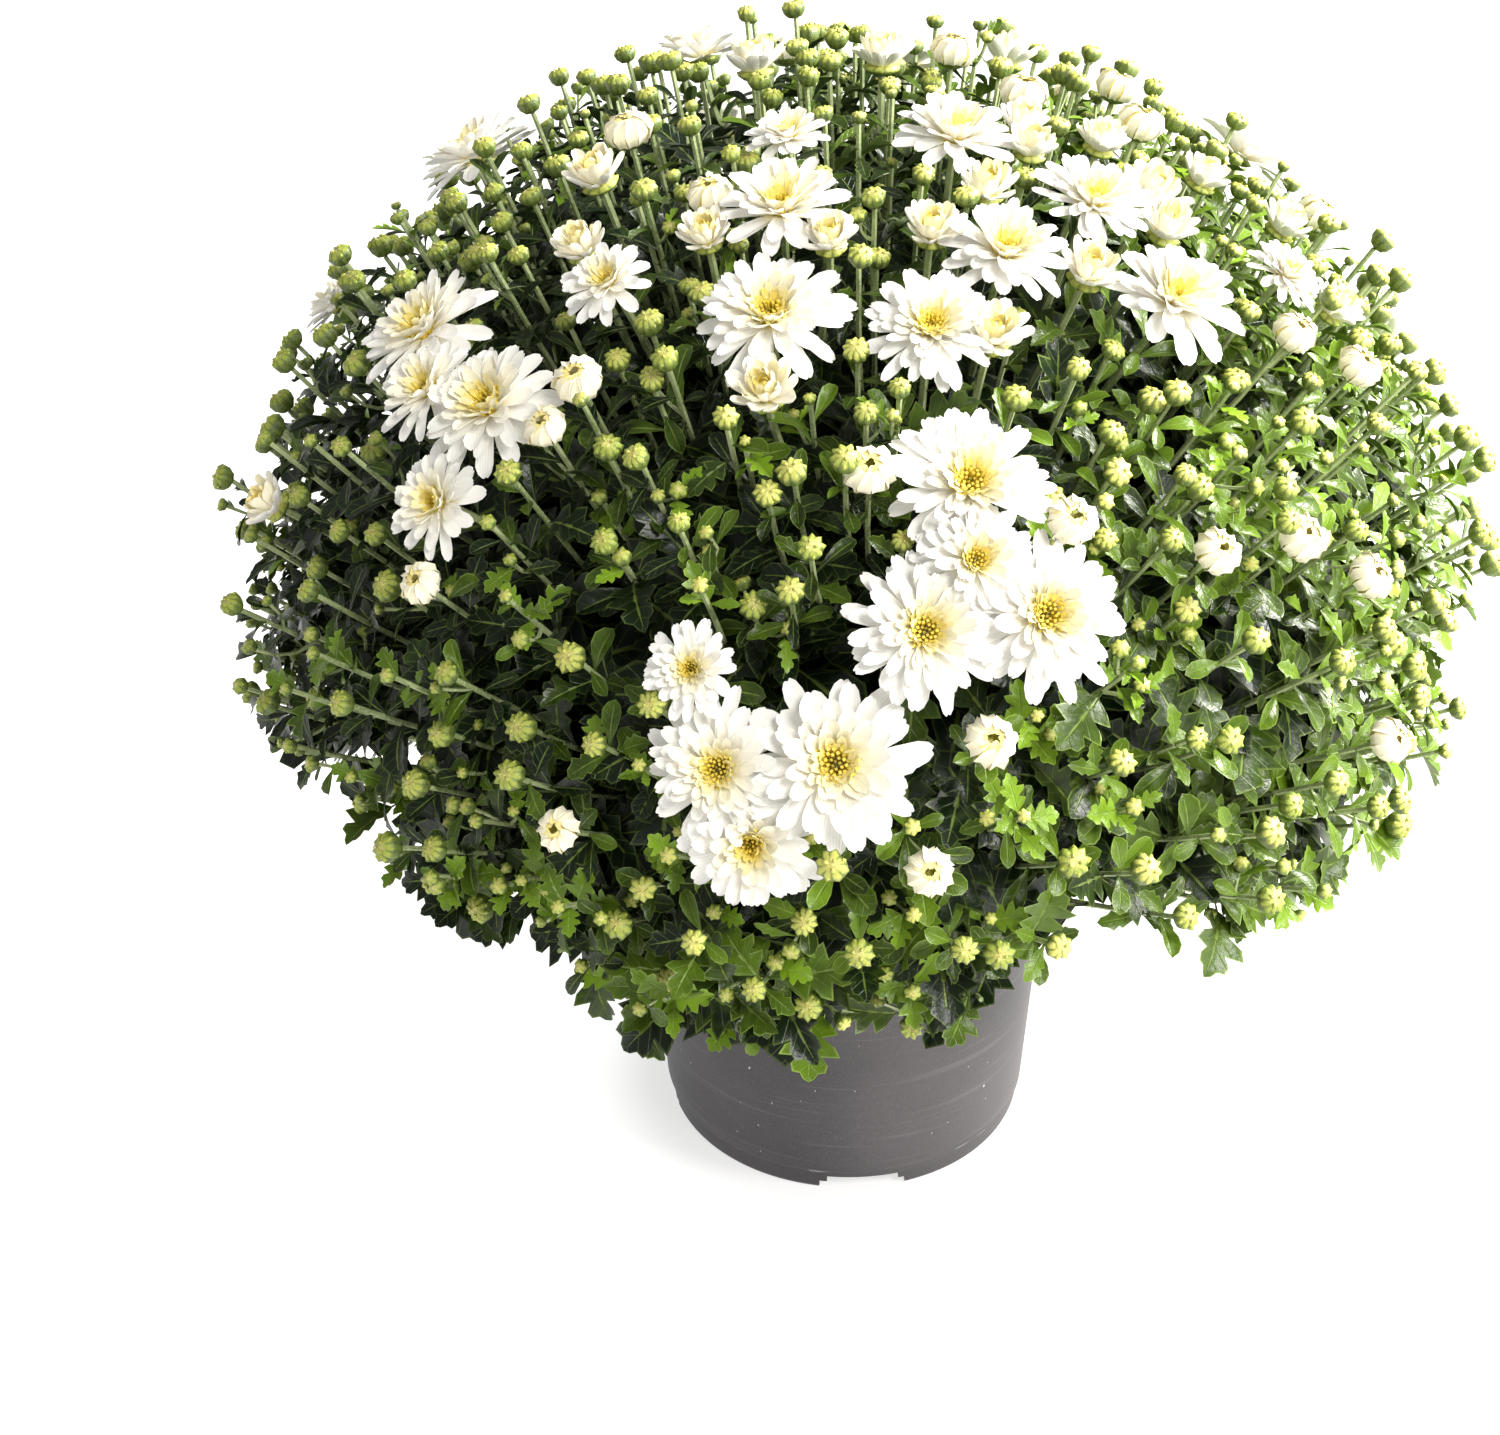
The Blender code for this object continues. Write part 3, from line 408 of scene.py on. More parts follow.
class Look:
    """A procedural material under construction."""

    def __init__(self, name, roughness, specular=0.5):
        self.material = bpy.data.materials.new(name)
        self.material.use_nodes = True
        self.material.cycles.emission_sampling = "NONE"
        self.tree = self.material.node_tree
        self.shader = self.tree.nodes["Principled BSDF"]
        self.shader.inputs["Roughness"].default_value = roughness
        self.shader.inputs["Specular IOR Level"].default_value = specular

    def node(self, kind, **settings):
        made = self.tree.nodes.new(kind)
        for name, value in settings.items():
            setattr(made, name, value)
        return made

    def give(self, value, socket):
        """Wires an output to a socket, or sets the socket's own value."""
        if isinstance(value, bpy.types.NodeSocket):
            self.tree.links.new(value, socket)
        else:
            socket.default_value = value

    def noise(self, scale, detail=3.0):
        made = self.node("ShaderNodeTexNoise")
        made.inputs["Scale"].default_value = scale
        made.inputs["Detail"].default_value = detail
        self.give(self.place(), made.inputs["Vector"])
        return made.outputs["Fac"]

    def math(self, operation, first, second=0.0, clamp=False):
        made = self.node("ShaderNodeMath", operation=operation, use_clamp=clamp)
        self.give(first, made.inputs[0])
        self.give(second, made.inputs[1])
        return made.outputs[0]

    def times(self, first, second):
        return self.math("MULTIPLY", first, second)

    def plus(self, first, second, clamp=False):
        return self.math("ADD", first, second, clamp)

    def opposite(self, value):
        """1 less the value."""
        return self.math("SUBTRACT", 1.0, value)

    def swing(self, value, width):
        """A value from 0 to 1, moved to lie about 0 and scaled to a width."""
        return self.times(self.math("SUBTRACT", value, 0.5), width)

    def between(self, value, low, high):
        """0 below low, 1 above high, and smooth between."""
        made = self.node("ShaderNodeMapRange", interpolation_type="SMOOTHSTEP")
        self.give(value, made.inputs["Value"])
        made.inputs["From Min"].default_value = low
        made.inputs["From Max"].default_value = high
        return made.outputs["Result"]

    def mix(self, share, first, second, blend="MIX"):
        made = self.node("ShaderNodeMix", data_type="RGBA", blend_type=blend)
        self.give(share, made.inputs[0])
        for value, socket in ((first, made.inputs[6]), (second, made.inputs[7])):
            self.give((*value, 1) if isinstance(value, tuple) else value, socket)
        return made.outputs[2]

    def tint(self, colour, other, share, strength):
        """A colour with some of another laid over it, where a share is above 0."""
        return self.mix(self.times(share, strength), colour, other)

    def place(self):
        """A point's place in the object."""
        return self.node("ShaderNodeTexCoord").outputs["Object"]

    def parts(self, vector):
        """The three values of a vector."""
        made = self.node("ShaderNodeSeparateXYZ")
        self.give(vector, made.inputs[0])
        return made.outputs[0], made.outputs[1], made.outputs[2]

    def tone(self):
        """The three values that each point carries."""
        return self.parts(self.node("ShaderNodeAttribute", attribute_name="tone").outputs["Vector"])

    def island(self):
        return self.node("ShaderNodeNewGeometry").outputs["Random Per Island"]

    def finish(self, colour, height=None, strength=0.3, distance=0.0005, roughness=None):
        self.give(colour, self.shader.inputs["Base Color"])
        if roughness is not None:
            self.give(roughness, self.shader.inputs["Roughness"])
        if height is not None:
            bump = self.node("ShaderNodeBump")
            bump.inputs["Strength"].default_value = strength
            bump.inputs["Distance"].default_value = distance
            self.give(height, bump.inputs["Height"])
            self.give(bump.outputs["Normal"], self.shader.inputs["Normal"])
        return self.material


def srgb(red, green, blue):
    """A colour as seen on screen, from 0 to 255, in the linear values that a shader takes."""
    def linear(value):
        share = value / 255
        return share / 12.92 if share <= 0.04045 else ((share + 0.055) / 1.055) ** 2.4
    return linear(red), linear(green), linear(blue)


def leaf_look(name, dark, bright, vein, roughness):
    """A leaf: its tone holds the place along its side veins, nearness to the edge, and age with painted
    light and shade by where the leaf stands.
    """
    look = Look(name, roughness, 0.32)
    lean, edge, age_and_painted_light = look.tone()
    wave = look.math("ABSOLUTE", look.math("SINE", look.times(lean, 20.0)))
    veins = look.opposite(look.between(wave, 0.0, 0.22))
    midrib = look.opposite(look.between(edge, 0.03, 0.12))
    lines = look.math("MAXIMUM", midrib, look.times(veins, 0.35))
    young = look.math("MAXIMUM", look.between(age_and_painted_light, -0.1, 0.35), 0.3)
    rim = look.times(look.between(edge, 0.86, 0.95), young)
    shade = look.plus(age_and_painted_light, look.swing(look.island(), 0.4))
    shade = look.plus(shade, look.swing(look.noise(180.0), 0.4), True)
    share = look.math("MAXIMUM", look.times(lines, 0.45), look.times(rim, 0.5))
    colour = look.mix(share, look.mix(shade, dark, bright), vein)
    height = look.math("SUBTRACT", look.times(look.noise(700.0), 0.5), lines)
    return look.finish(colour, height, 0.6, 0.0006)


def stem_look():
    """A pale green stem with lighter streaks of fine hair."""
    look = Look("stem_skin", 0.55)
    streak = look.noise(900.0, 4.0)
    colour = look.mix(look.between(look.noise(60.0), 0.35, 0.65), srgb(122, 138, 84), srgb(166, 178, 124))
    colour = look.tint(colour, srgb(200, 208, 172), look.between(streak, 0.45, 0.7), 0.45)
    return look.finish(colour, streak, 0.35, 0.0004)


def bud_look():
    """A bud: its tone holds ridge, height and ripeness, which is lowered towards the left as painted shade;
    green bracts below, pale knobs round the top.
    """
    look = Look("bud_skin", 0.45)
    ridge, height, ripe = look.tone()
    green = look.mix(look.island(), srgb(50, 70, 18), srgb(80, 100, 30))
    flank = look.tint(green, srgb(118, 138, 52), look.between(ridge, 0.1, 0.9), 0.45)
    pale = look.mix(ripe, srgb(158, 172, 60), srgb(224, 220, 112))
    crown = look.mix(look.between(ridge, 0.0, 0.5), srgb(104, 124, 38), pale)
    colour = look.mix(look.between(height, 0.54, 0.76), flank, crown)
    fuzz = look.between(look.noise(2600.0, 1.0), 0.45, 0.62)
    middle = look.mix(fuzz, srgb(190, 180, 84), srgb(236, 228, 160))
    colour = look.tint(colour, middle, look.between(height, 0.80, 0.96), 0.85)
    colour = look.tint(colour, srgb(210, 214, 140), fuzz, 0.18)
    return look.finish(colour, look.noise(1600.0), 0.5, 0.0005)


def petal_look():
    """A petal: along, across and cream in its tone, with fine lines along it, a cream foot, and a faint
    painted glow of its own colour that lightens its shaded sides.
    """
    look = Look("petal", 0.6, 0.3)
    along, across, cream = look.tone()
    lines = look.math("SINE", look.times(across, 22.0))
    foot = look.opposite(look.between(along, 0.0, 0.5))
    share = look.math("MAXIMUM", cream, look.times(foot, 0.6), True)
    colour = look.mix(share, srgb(246, 244, 238), srgb(248, 230, 124))
    colour = look.tint(colour, srgb(232, 228, 220), look.noise(120.0), 0.06)
    # Painted light: the petal glows faintly with its own colour, though it is no lamp.
    look.give(colour, look.shader.inputs["Emission Color"])
    look.shader.inputs["Emission Strength"].default_value = 0.07
    return look.finish(colour, lines, 0.2, 0.0002)


def floret_look():
    """A floret: olive in the unripe middle of the eye, and gold with pale mouths round it."""
    look = Look("floret", 0.6, 0.3)
    ripe, tip, _ = look.tone()
    colour = look.mix(look.between(ripe, 0.10, 0.42), srgb(146, 128, 22), srgb(248, 220, 80))
    colour = look.tint(colour, srgb(253, 238, 130), look.times(tip, ripe), 0.8)
    return look.finish(colour, look.noise(1500.0), 0.4, 0.0003)


def pot_look():
    """Matt grey plastic with a fine grain, cloudy wear, faint level streaks, scuffs and a few specks."""
    look = Look("pot_plastic_fine", 0.5, 0.4)
    grain = look.noise(2200.0, 2.0)
    cloud = look.noise(16.0, 6.0)
    place = look.place()
    height = look.parts(place)[2]
    squeeze = look.node("ShaderNodeMapping")
    squeeze.inputs["Scale"].default_value = (12, 12, 420)
    look.give(place, squeeze.inputs["Vector"])
    streaks = look.node("ShaderNodeTexNoise")
    streaks.inputs["Scale"].default_value = 1.0
    look.give(squeeze.outputs["Vector"], streaks.inputs["Vector"])
    streak = look.between(streaks.outputs["Fac"], 0.55, 0.75)
    colour = look.mix(look.between(cloud, 0.3, 0.7), srgb(54, 52, 55), srgb(72, 68, 70))
    colour = look.tint(colour, srgb(112, 108, 110), streak, 0.25)
    colour = look.tint(colour, srgb(124, 120, 122), look.between(grain, 0.5, 0.75), 0.3)
    colour = look.tint(colour, srgb(206, 200, 194), look.between(look.noise(520.0, 0.0), 0.865, 0.88), 0.8)
    off_band = look.math("ABSOLUTE", look.math("SUBTRACT", height, 0.0098))
    band = look.opposite(look.between(off_band, 0.0, 0.0011))
    worn = look.times(band, look.between(look.noise(55.0, 2.0), 0.56, 0.62))
    colour = look.tint(colour, srgb(178, 172, 168), worn, 0.75)
    foot = look.opposite(look.between(height, 0.004, 0.018))
    colour = look.tint(colour, srgb(46, 43, 44), foot, 0.3)
    rough = look.plus(0.42, look.times(cloud, 0.2))
    return look.finish(colour, look.plus(grain, streak), 0.25, 0.0002, rough)


def soil_look():
    """Dark peat with pale grains."""
    look = Look("potting_soil_skin", 0.95, 0.2)
    colour = look.mix(look.noise(500.0, 6.0), srgb(24, 17, 12), srgb(66, 48, 34))
    colour = look.mix(look.between(look.noise(260.0), 0.68, 0.72), colour, srgb(150, 140, 122))
    return look.finish(colour, look.noise(800.0, 6.0), 0.9, 0.001)


def floor_look():
    """White paper that glows evenly, but less in a ring close round the pot: a painted shadow there, through
    which the pot's own shadow also shows more.
    """
    look = Look("floor_paper", 0.9, 0.1)
    look.shader.inputs["Emission Color"].default_value = (1, 1, 1, 1)
    place = look.place()
    away = look.node("ShaderNodeVectorMath", operation="LENGTH")
    look.give(place, away.inputs[0])
    # Painted shadow: the glow drops from 0.95 to 0.69 close round the pot.
    clear = look.between(away.outputs["Value"], 0.078, 0.112)
    look.give(look.plus(0.69, look.times(clear, 0.26)), look.shader.inputs["Emission Strength"])
    return look.finish(look.mix(look.noise(3.0), (0.33, 0.32, 0.31), (0.37, 0.36, 0.35)))


def placed(name, data):
    """A new object in the scene for some data."""
    obj = bpy.data.objects.new(name, data)
    bpy.context.scene.collection.objects.link(obj)
    return obj


def level_at(turn):
    """The level direction at a turn from +X, in radians."""
    return Vector((math.cos(turn), math.sin(turn), 0))


class Heap:
    """Many small bodies gathered into one mesh, with three values a point and a material a face."""

    def __init__(self):
        self.points = []
        self.faces = []
        self.tones = []
        self.slots = []
        self.count = 0

    def add(self, points, faces, tones=None, slots=0):
        """Adds a body, whose tones are 0 where none are given."""
        self.points.append(points.reshape(-1, 3))
        self.faces.append(faces.reshape(-1, 3) + self.count)
        size = len(self.points[-1])
        self.tones.append(np.zeros((size, 3)) if tones is None else tones.reshape(-1, 3))
        self.slots.append(np.broadcast_to(slots, (len(self.faces[-1]),)))
        self.count += size

    def add_copies(self, points, template, tones):
        """Copies of a template's faces over points of shape copies by template points."""
        copies, size = points.shape[:2]
        faces = template.faces[None] + (np.arange(copies) * size)[:, None, None]
        self.add(points, faces, tones, np.tile(template.slots, copies))

    def build(self, name, materials, sharp=60):
        """The mesh as a piece that rides with the part."""
        points = np.concatenate(self.points).astype(np.float32)
        faces = np.concatenate(self.faces).astype(np.int32)
        mesh = bpy.data.meshes.new(name)
        mesh.vertices.add(len(points))
        mesh.vertices.foreach_set("co", points.ravel())
        mesh.loops.add(faces.size)
        mesh.loops.foreach_set("vertex_index", faces.ravel())
        mesh.polygons.add(len(faces))
        mesh.polygons.foreach_set("loop_start", np.arange(0, faces.size, 3, dtype=np.int32))
        mesh.polygons.foreach_set("material_index", np.concatenate(self.slots).astype(np.int32))
        mesh.update(calc_edges=True)
        tone = mesh.attributes.new("tone", "FLOAT_VECTOR", "POINT")
        tone.data.foreach_set("vector", np.concatenate(self.tones).astype(np.float32).ravel())
        for material in materials:
            mesh.materials.append(material)
        mesh.shade_smooth()
        mesh.set_sharp_from_angle(angle=math.radians(sharp))
        obj = placed(name, mesh)
        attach(obj, "root")
        return obj


class Template:
    """A small body that is copied many times: its points, faces, tones, and a material for each face."""

    def __init__(self, points, faces, slots=0, tones=None):
        self.points = np.array(points, float)
        self.faces = np.array(faces, int)
        self.slots = np.broadcast_to(slots, (len(faces),))
        self.tones = tones if tones is None else np.array(tones, float)


def leaf_template(outline):
    """A thin closed blade. Points hold along, across and side: 1 on the upper midrib, -1 on the lower."""
    rows = len(outline)
    left = [(along, across, 0) for along, across, _ in outline]
    right = [(along, -across, 0) for along, across, _ in outline]
    top = [(rib, 0, 1) for _, _, rib in outline]
    bottom = [(rib, 0, -1) for _, _, rib in outline]
    tip = 4 * rows
    faces = []
    slots = []
    for side, middle in ((0, 2 * rows), (1, 3 * rows)):
        strips = []
        for k in range(rows - 1):
            a, b = middle + k, middle + k + 1
            strips += [(a, rows + k, rows + k + 1), (a, rows + k + 1, b), (a, b, k + 1), (a, k + 1, k)]
        last = middle + rows - 1
        strips += [(last, 2 * rows - 1, tip), (last, tip, rows - 1)]
        faces += strips if side == 0 else [face[::-1] for face in strips]
        slots += [side] * len(strips)
    faces += [(0, rows, 2 * rows), (0, 3 * rows, rows)]
    slots += [1, 1]
    return Template(left + right + top + bottom + [(1, 0, 0)], faces, slots)


def petal_template(lengthwise, crosswise):
    """A thin closed petal. Points hold the share along, the place across, the half width and the side."""
    rows, columns = len(lengthwise), len(crosswise)
    points = []
    index = {}
    for side in (1, -1):
        for r, (along, width) in enumerate(lengthwise):
            for c, across in enumerate(crosswise):
                rim = r in (0, rows - 1) or c in (0, columns - 1)
                if rim and side == -1:
                    index[side, r, c] = index[1, r, c]
                    continue
                index[side, r, c] = len(points)
                points.append((along, across, width, 0 if rim else side))
    faces = []
    for side in (1, -1):
        for r in range(rows - 1):
            for c in range(columns - 1):
                a, b = index[side, r, c], index[side, r + 1, c]
                d, e = index[side, r + 1, c + 1], index[side, r, c + 1]
                turned = (r, c) in ((0, columns - 2), (rows - 2, 0))
                pair = [(a, b, e), (b, d, e)] if turned else [(a, b, d), (a, d, e)]
                faces += pair if side == 1 else [face[::-1] for face in pair]
    return Template(points, faces)


def ring_faces(sides, rings, start, first, last):
    """Triangles over a stack of rings of points from a start, closed by one point at each end."""
    faces = []
    end = start + (rings - 1) * sides
    for k in range(sides):
        nxt = (k + 1) % sides
        faces.append((first, start + nxt, start + k))
        for r in range(rings - 1):
            a, b = start + r * sides + k, start + r * sides + nxt
            faces += [(a, b, b + sides), (a, b + sides, a + sides)]
        faces.append((last, end + k, end + nxt))
    return faces


def globe_template(ribs, rings, radius_at, height_at, seed=0, uneven=0.0):
    """A ribbed globe: points at each ring's radius and height, with ridge and height in the tone."""
    sides = 2 * ribs
    rng = random.Random(seed)
    swells = [rng.uniform(1 - uneven, 1 + uneven) for _ in range(sides)]
    points = [(0, 0, height_at(0, 0))]
    tones = [(0, 0, 0)]
    for r in range(1, rings):
        share = r / rings
        for k in range(sides):
            ridge = 1 if k % 2 == 0 else -1
            turn = math.tau * (k + (swells[k] - 1)) / sides
            radius = radius_at(share, ridge) * (1 + (swells[k] - 1) * share)
            height = height_at(share, ridge * swells[k])
            points.append((radius * math.cos(turn), radius * math.sin(turn), height))
            tones.append(((ridge + 1) / 2, share, 0))
    points.append((0, 0, height_at(1, 0)))
    tones.append((0.5, 1, 0))
    return Template(points, ring_faces(sides, rings - 1, 1, 0, len(points) - 1), 0, tones)


def knob(turn, radius, height, size, tilt):
    """A small blunt body at the end of a bud's rib: its points, and its eight faces."""
    out = level_at(turn)
    side = Vector((-out.y, out.x, 0))
    down = out * math.cos(tilt) - UP * math.sin(tilt)
    up = side.cross(down) * -1
    middle = out * radius + UP * height
    arms = (down * size * 1.5, side * size, down * size * -1.5, side * -size)
    points = [middle + arm for arm in arms] + [middle + up * size, middle - up * size]
    faces = []
    for k in range(4):
        nxt = (k + 1) % 4
        faces += [(k, nxt, 4), (nxt, k, 5)]
    return points, faces


def bud_template(ribs, rings, seed, inner):
    """A tight bud, as wide as 1 and with its foot at 0: bracts below, and knobs round its flat top."""
    def radius_at(share, ridge):
        swell = math.exp(-((share - 0.60) / 0.2) ** 2)
        return 0.44 * math.sin(math.pi * share ** 1.08) ** 0.75 * (1 + 0.09 * swell * ridge)

    def height_at(share, ridge):
        dimple = 0.08 * max(0, (share - 0.72) / 0.28)
        return 0.37 - 0.37 * math.cos(math.pi * share) - dimple + 0.03 * ridge * share

    made = globe_template(ribs, rings, radius_at, height_at, seed, 0.16)
    rng = random.Random(40 + seed)
    points, tones, faces = list(made.points), list(made.tones), list(made.faces)
    knobs = [(k, ribs, *OUTER_KNOB) for k in range(ribs)]
    knobs += [(k + 0.5, inner, *INNER_KNOB) for k in range(inner)]
    for k, count, radius, height, size, tilt, pale in knobs:
        turn = math.tau * (k + rng.uniform(-0.12, 0.12)) / count
        size = size * rng.uniform(0.8, 1.15)
        extra, sides = knob(turn, radius, height + rng.uniform(-0.03, 0.03), size, tilt)
        faces += [tuple(len(points) + corner for corner in face) for face in sides]
        points += [tuple(point) for point in extra]
        tones += [(KNOB_RIDGE, pale * share, 0) for share in KNOB_HEIGHTS]
    return Template(points, faces, 0, tones)


def cup_template():
    """The green cup of bracts under a bloom or an opening bud, as wide as 1 at its rim."""
    def radius_at(share, ridge):
        return 0.5 * math.sin(math.pi * 0.5 * min(1, share * 1.4)) * (1 + 0.10 * ridge * share)

    def height_at(share, ridge):
        return 0.0 if share == 0 else 0.38 * share ** 1.5 + 0.04 * ridge * share

    return globe_template(9, 5, radius_at, height_at)


LEAF_KINDS = {
    "lobed": leaf_template(LOBED),
    "deep": leaf_template(PLAIN_LOBED),
    "entire": leaf_template(ENTIRE),
    "toothed": leaf_template(TOOTHED),
    "inner": leaf_template(INNER),
}
PETAL = petal_template(PETAL_ROWS, PETAL_COLUMNS)
SMALL_PETAL = petal_template(SMALL_PETAL_ROWS, SMALL_PETAL_COLUMNS)
BUD_PETAL = petal_template(PETAL_ROWS, SMALL_PETAL_COLUMNS)
BUDS = [bud_template(ribs, 5, seed, 3) for seed, ribs in enumerate((9, 10, 8, 9, 10))]
SMALL_BUDS = [bud_template(ribs, 4, seed, 0) for seed, ribs in enumerate((6, 7, 6))]
CUP = cup_template()


class Copies:
    """Copies of a template, each with its foot, its turn and the values that shape it."""

    def __init__(self, template):
        self.template = template
        self.turns = []
        self.feet = []
        self.shapes = []

    def keep(self, foot, turn, shape):
        self.turns.append([list(row) for row in turn])
        self.feet.append(list(foot))
        self.shapes.append(shape)

    def pour(self, heap):
        if self.feet:
            local, tones = self.shaped(np.array(self.shapes)[:, :, None])
            points = np.einsum(self.WAY, local, np.array(self.turns)) + np.array(self.feet)[:, None]
            heap.add_copies(points, self.template, tones)


class Leaves(Copies):
    """Leaves of one kind, whose turns have the leaf's own axes as rows."""

    WAY = "mnk,mkj->mnj"

    def add(self, foot, along, face, shape):
        z_axis = (face - along * face.dot(along)).normalized()
        self.keep(foot, (along, z_axis.cross(along), z_axis), shape)

    def shaped(self, shapes):
        """The points and tones of all the leaves, folded, curled and waved."""
        length, width, fold, curl, wave, phase, age = (shapes[:, k] for k in range(7))
        u, v, side = (self.template.points[:, k][None] for k in range(3))
        bend = curl * u
        x = length * np.sin(bend) / curl
        z = -length * (1 - np.cos(bend)) / curl
        y = length * width * v
        lift = length * np.abs(v) * fold + length * wave * np.sin(LEAF_RIPPLES * u + phase) * np.abs(v)
        lift = lift + side * LEAF_THICKNESS / 2
        x = x + lift * np.sin(bend)
        z = z + lift * np.cos(bend)
        lean = u - VEIN_LEAN * np.abs(v)
        tones = np.stack([lean + 0 * x, 1 - np.abs(side) + 0 * x, age + 0 * x], axis=2)
        return np.stack([x, y, z], axis=2), tones


class Globes(Copies):
    """Buds or cups of one kind, whose turns have the globe's own axes as columns."""

    WAY = "mnk,mjk->mnj"

    def add(self, foot, axis, width, turn, ripe, height=1.0):
        axes = axes_along(axis, Vector((math.cos(turn), math.sin(turn), 0.3)))
        self.keep(foot, axes, (width, width, width * height, ripe))

    def shaped(self, shapes):
        """The points and tones of all the globes, at their sizes and ripeness."""
        tones = np.repeat(self.template.tones[None], len(shapes), axis=0)
        tones[:, :, 2] = shapes[:, 3]
        return self.template.points[None] * shapes[:, None, :3, 0], tones


def tube(heap, path, radii, sides=5):
    """A round stalk along a path, closed at both ends."""
    rings = []
    toward = Vector((0.31, 0.77, 0.55))
    turns = [math.tau * k / sides for k in range(sides)]
    for k, (point, radius) in enumerate(zip(path, radii)):
        along = path[min(k + 1, len(path) - 1)] - path[max(k - 1, 0)]
        axes = axes_along(along, toward)
        toward = axes.col[0].copy()
        rings += [point + axes @ Vector((radius * math.cos(t), radius * math.sin(t), 0)) for t in turns]
    points = np.array([list(point) for point in rings + [path[0], path[-1]]])
    heap.add(points, np.array(ring_faces(sides, len(path), 0, len(rings), len(rings) + 1)))


def bent_path(start, control, end, steps):
    """Points of a smooth curve from a start to an end that leaves towards a control point."""
    path = []
    for k in range(steps + 1):
        t = k / steps
        path.append(start * (1 - t) ** 2 + control * 2 * t * (1 - t) + end * t * t)
    return path


class Stalk:
    """A path that is measured back from its tip, with how low and how high on the plant it is."""

    def __init__(self, path, low, high):
        self.path = path
        self.low = low
        self.high = high

    def place(self, back):
        """The point and the direction of growth at a distance back from the tip."""
        left = back
        for k in range(len(self.path) - 1, 0, -1):
            step = self.path[k] - self.path[k - 1]
            if left <= step.length or k == 1:
                return self.path[k] - step.normalized() * left, step.normalized()
            left -= step.length


class Shoot(Stalk):
    """A leafy shoot from its spray's heart to its tip."""

    def __init__(self, tip, rng):
        self.tip = tip
        self.spray = owner(tip)
        offset = tip - HEART
        out = (offset.normalized() + UP * SHOOT_LIFT).normalized()
        start = HEART + SITES[self.spray] * offset.length * rng.uniform(*SHOOT_START)
        control = tip - out * offset.length * SHOOT_BEND
        high = min(1, max(0, (tip.z - HIGH_TIP) / HIGH_SPAN))
        super().__init__(bent_path(start, control, tip, SHOOT_STEPS), tip.z < LOW_TIP, high)


class Foliage:
    """What one spray is made of, gathered before its meshes are built."""

    def __init__(self, number):
        self.number = number
        self.stems = Heap()
        self.leaves = {kind: Leaves(template) for kind, template in LEAF_KINDS.items()}
        self.buds = [Globes(template) for template in BUDS]
        self.small_buds = [Globes(template) for template in SMALL_BUDS]
        self.cups = Globes(CUP)


def blocked(point, blooms, margin=1.5 * MM):
    """Whether a bloom is in the way of a point."""
    return any(bloom.holds(point, margin) for bloom in blooms)


def outside(point):
    """How far out of the dome's skin a point lies, as a share: 1 on the skin."""
    up = DOME_UP if point.z > DOME_MIDDLE else DOME_DOWN
    level = math.hypot(point.x, point.y) / DOME_RADIUS
    return math.hypot(level, (point.z - DOME_MIDDLE) / up)


def too_low(point):
    """Whether a point near the skin hangs below the foliage's lower edge at its azimuth."""
    if point.z >= DOME_MIDDLE or outside(point) <= SKIRT_DEPTH:
        return False
    level = math.hypot(point.x, point.y)
    azimuth = math.degrees(math.atan2(point.x, -point.y))
    height = math.degrees(math.atan2((point.z - DOME_MIDDLE) / DOME_DOWN, level / DOME_RADIUS))
    return height < skirt(azimuth) - SKIRT_HANG


def leaf_kind(back, share, young, low, rng):
    """Which outline a leaf has: entire and toothed ones near the tip, lobed ones further down."""
    if young:
        return "lobed" if rng.random() < 0.7 else "toothed"
    if back > INNER_BACK:
        return "inner"
    if back > DEEP_BACK:
        return "deep"
    if rng.random() < (0.75 if low else 1.25 * share - 0.25):
        return "lobed"
    return "toothed" if rng.random() < 0.35 else "entire"


def leaf_length(kind, share, young, low, rng):
    """A leaf's length, which grows with its share of the way back."""
    if kind in ("lobed", "deep", "inner"):
        least, gain = LOBED_LENGTH
        length = (least + gain * share + LOW_LONGER * low) * rng.uniform(0.8, 1.2)
    else:
        least, gain = ENTIRE_LENGTH
        length = (least + gain * share) * rng.uniform(0.8, 1.3)
    return length * YOUNG_SIZE if young else length


def leaf_tone_with_painted_light(rightward, share, high, young, rng):
    """A leaf's tone, from below 0 where it is old and dark to 1 where it is young and bright. Leaves further
    back are darker, partly as older leaves and partly as painted shade inside the foliage, and less so on
    the right; the tone is lighter to the right and at the top right as painted light, and darker to the left
    as painted shade.
    """
    # Painted shade: leaves further back are darker, less so towards the right; this is partly their greater
    # age.
    age = 0.5 - 1.1 * share * (1 - 0.5 * max(0, rightward)) - 0.1 * high + rng.uniform(-0.14, 0.16)
    # Painted light: lighter to the right, and paler still at the top right.
    age += PAINTED_LIGHT_RIGHT * rightward + PAINTED_LIGHT_TOP_RIGHT * max(0, rightward) * high
    if young:
        age = 0.6 + 0.4 * rng.random()
    # Painted shade: darker to the left.
    return age + PAINTED_SHADE_LEFT * min(0, rightward)


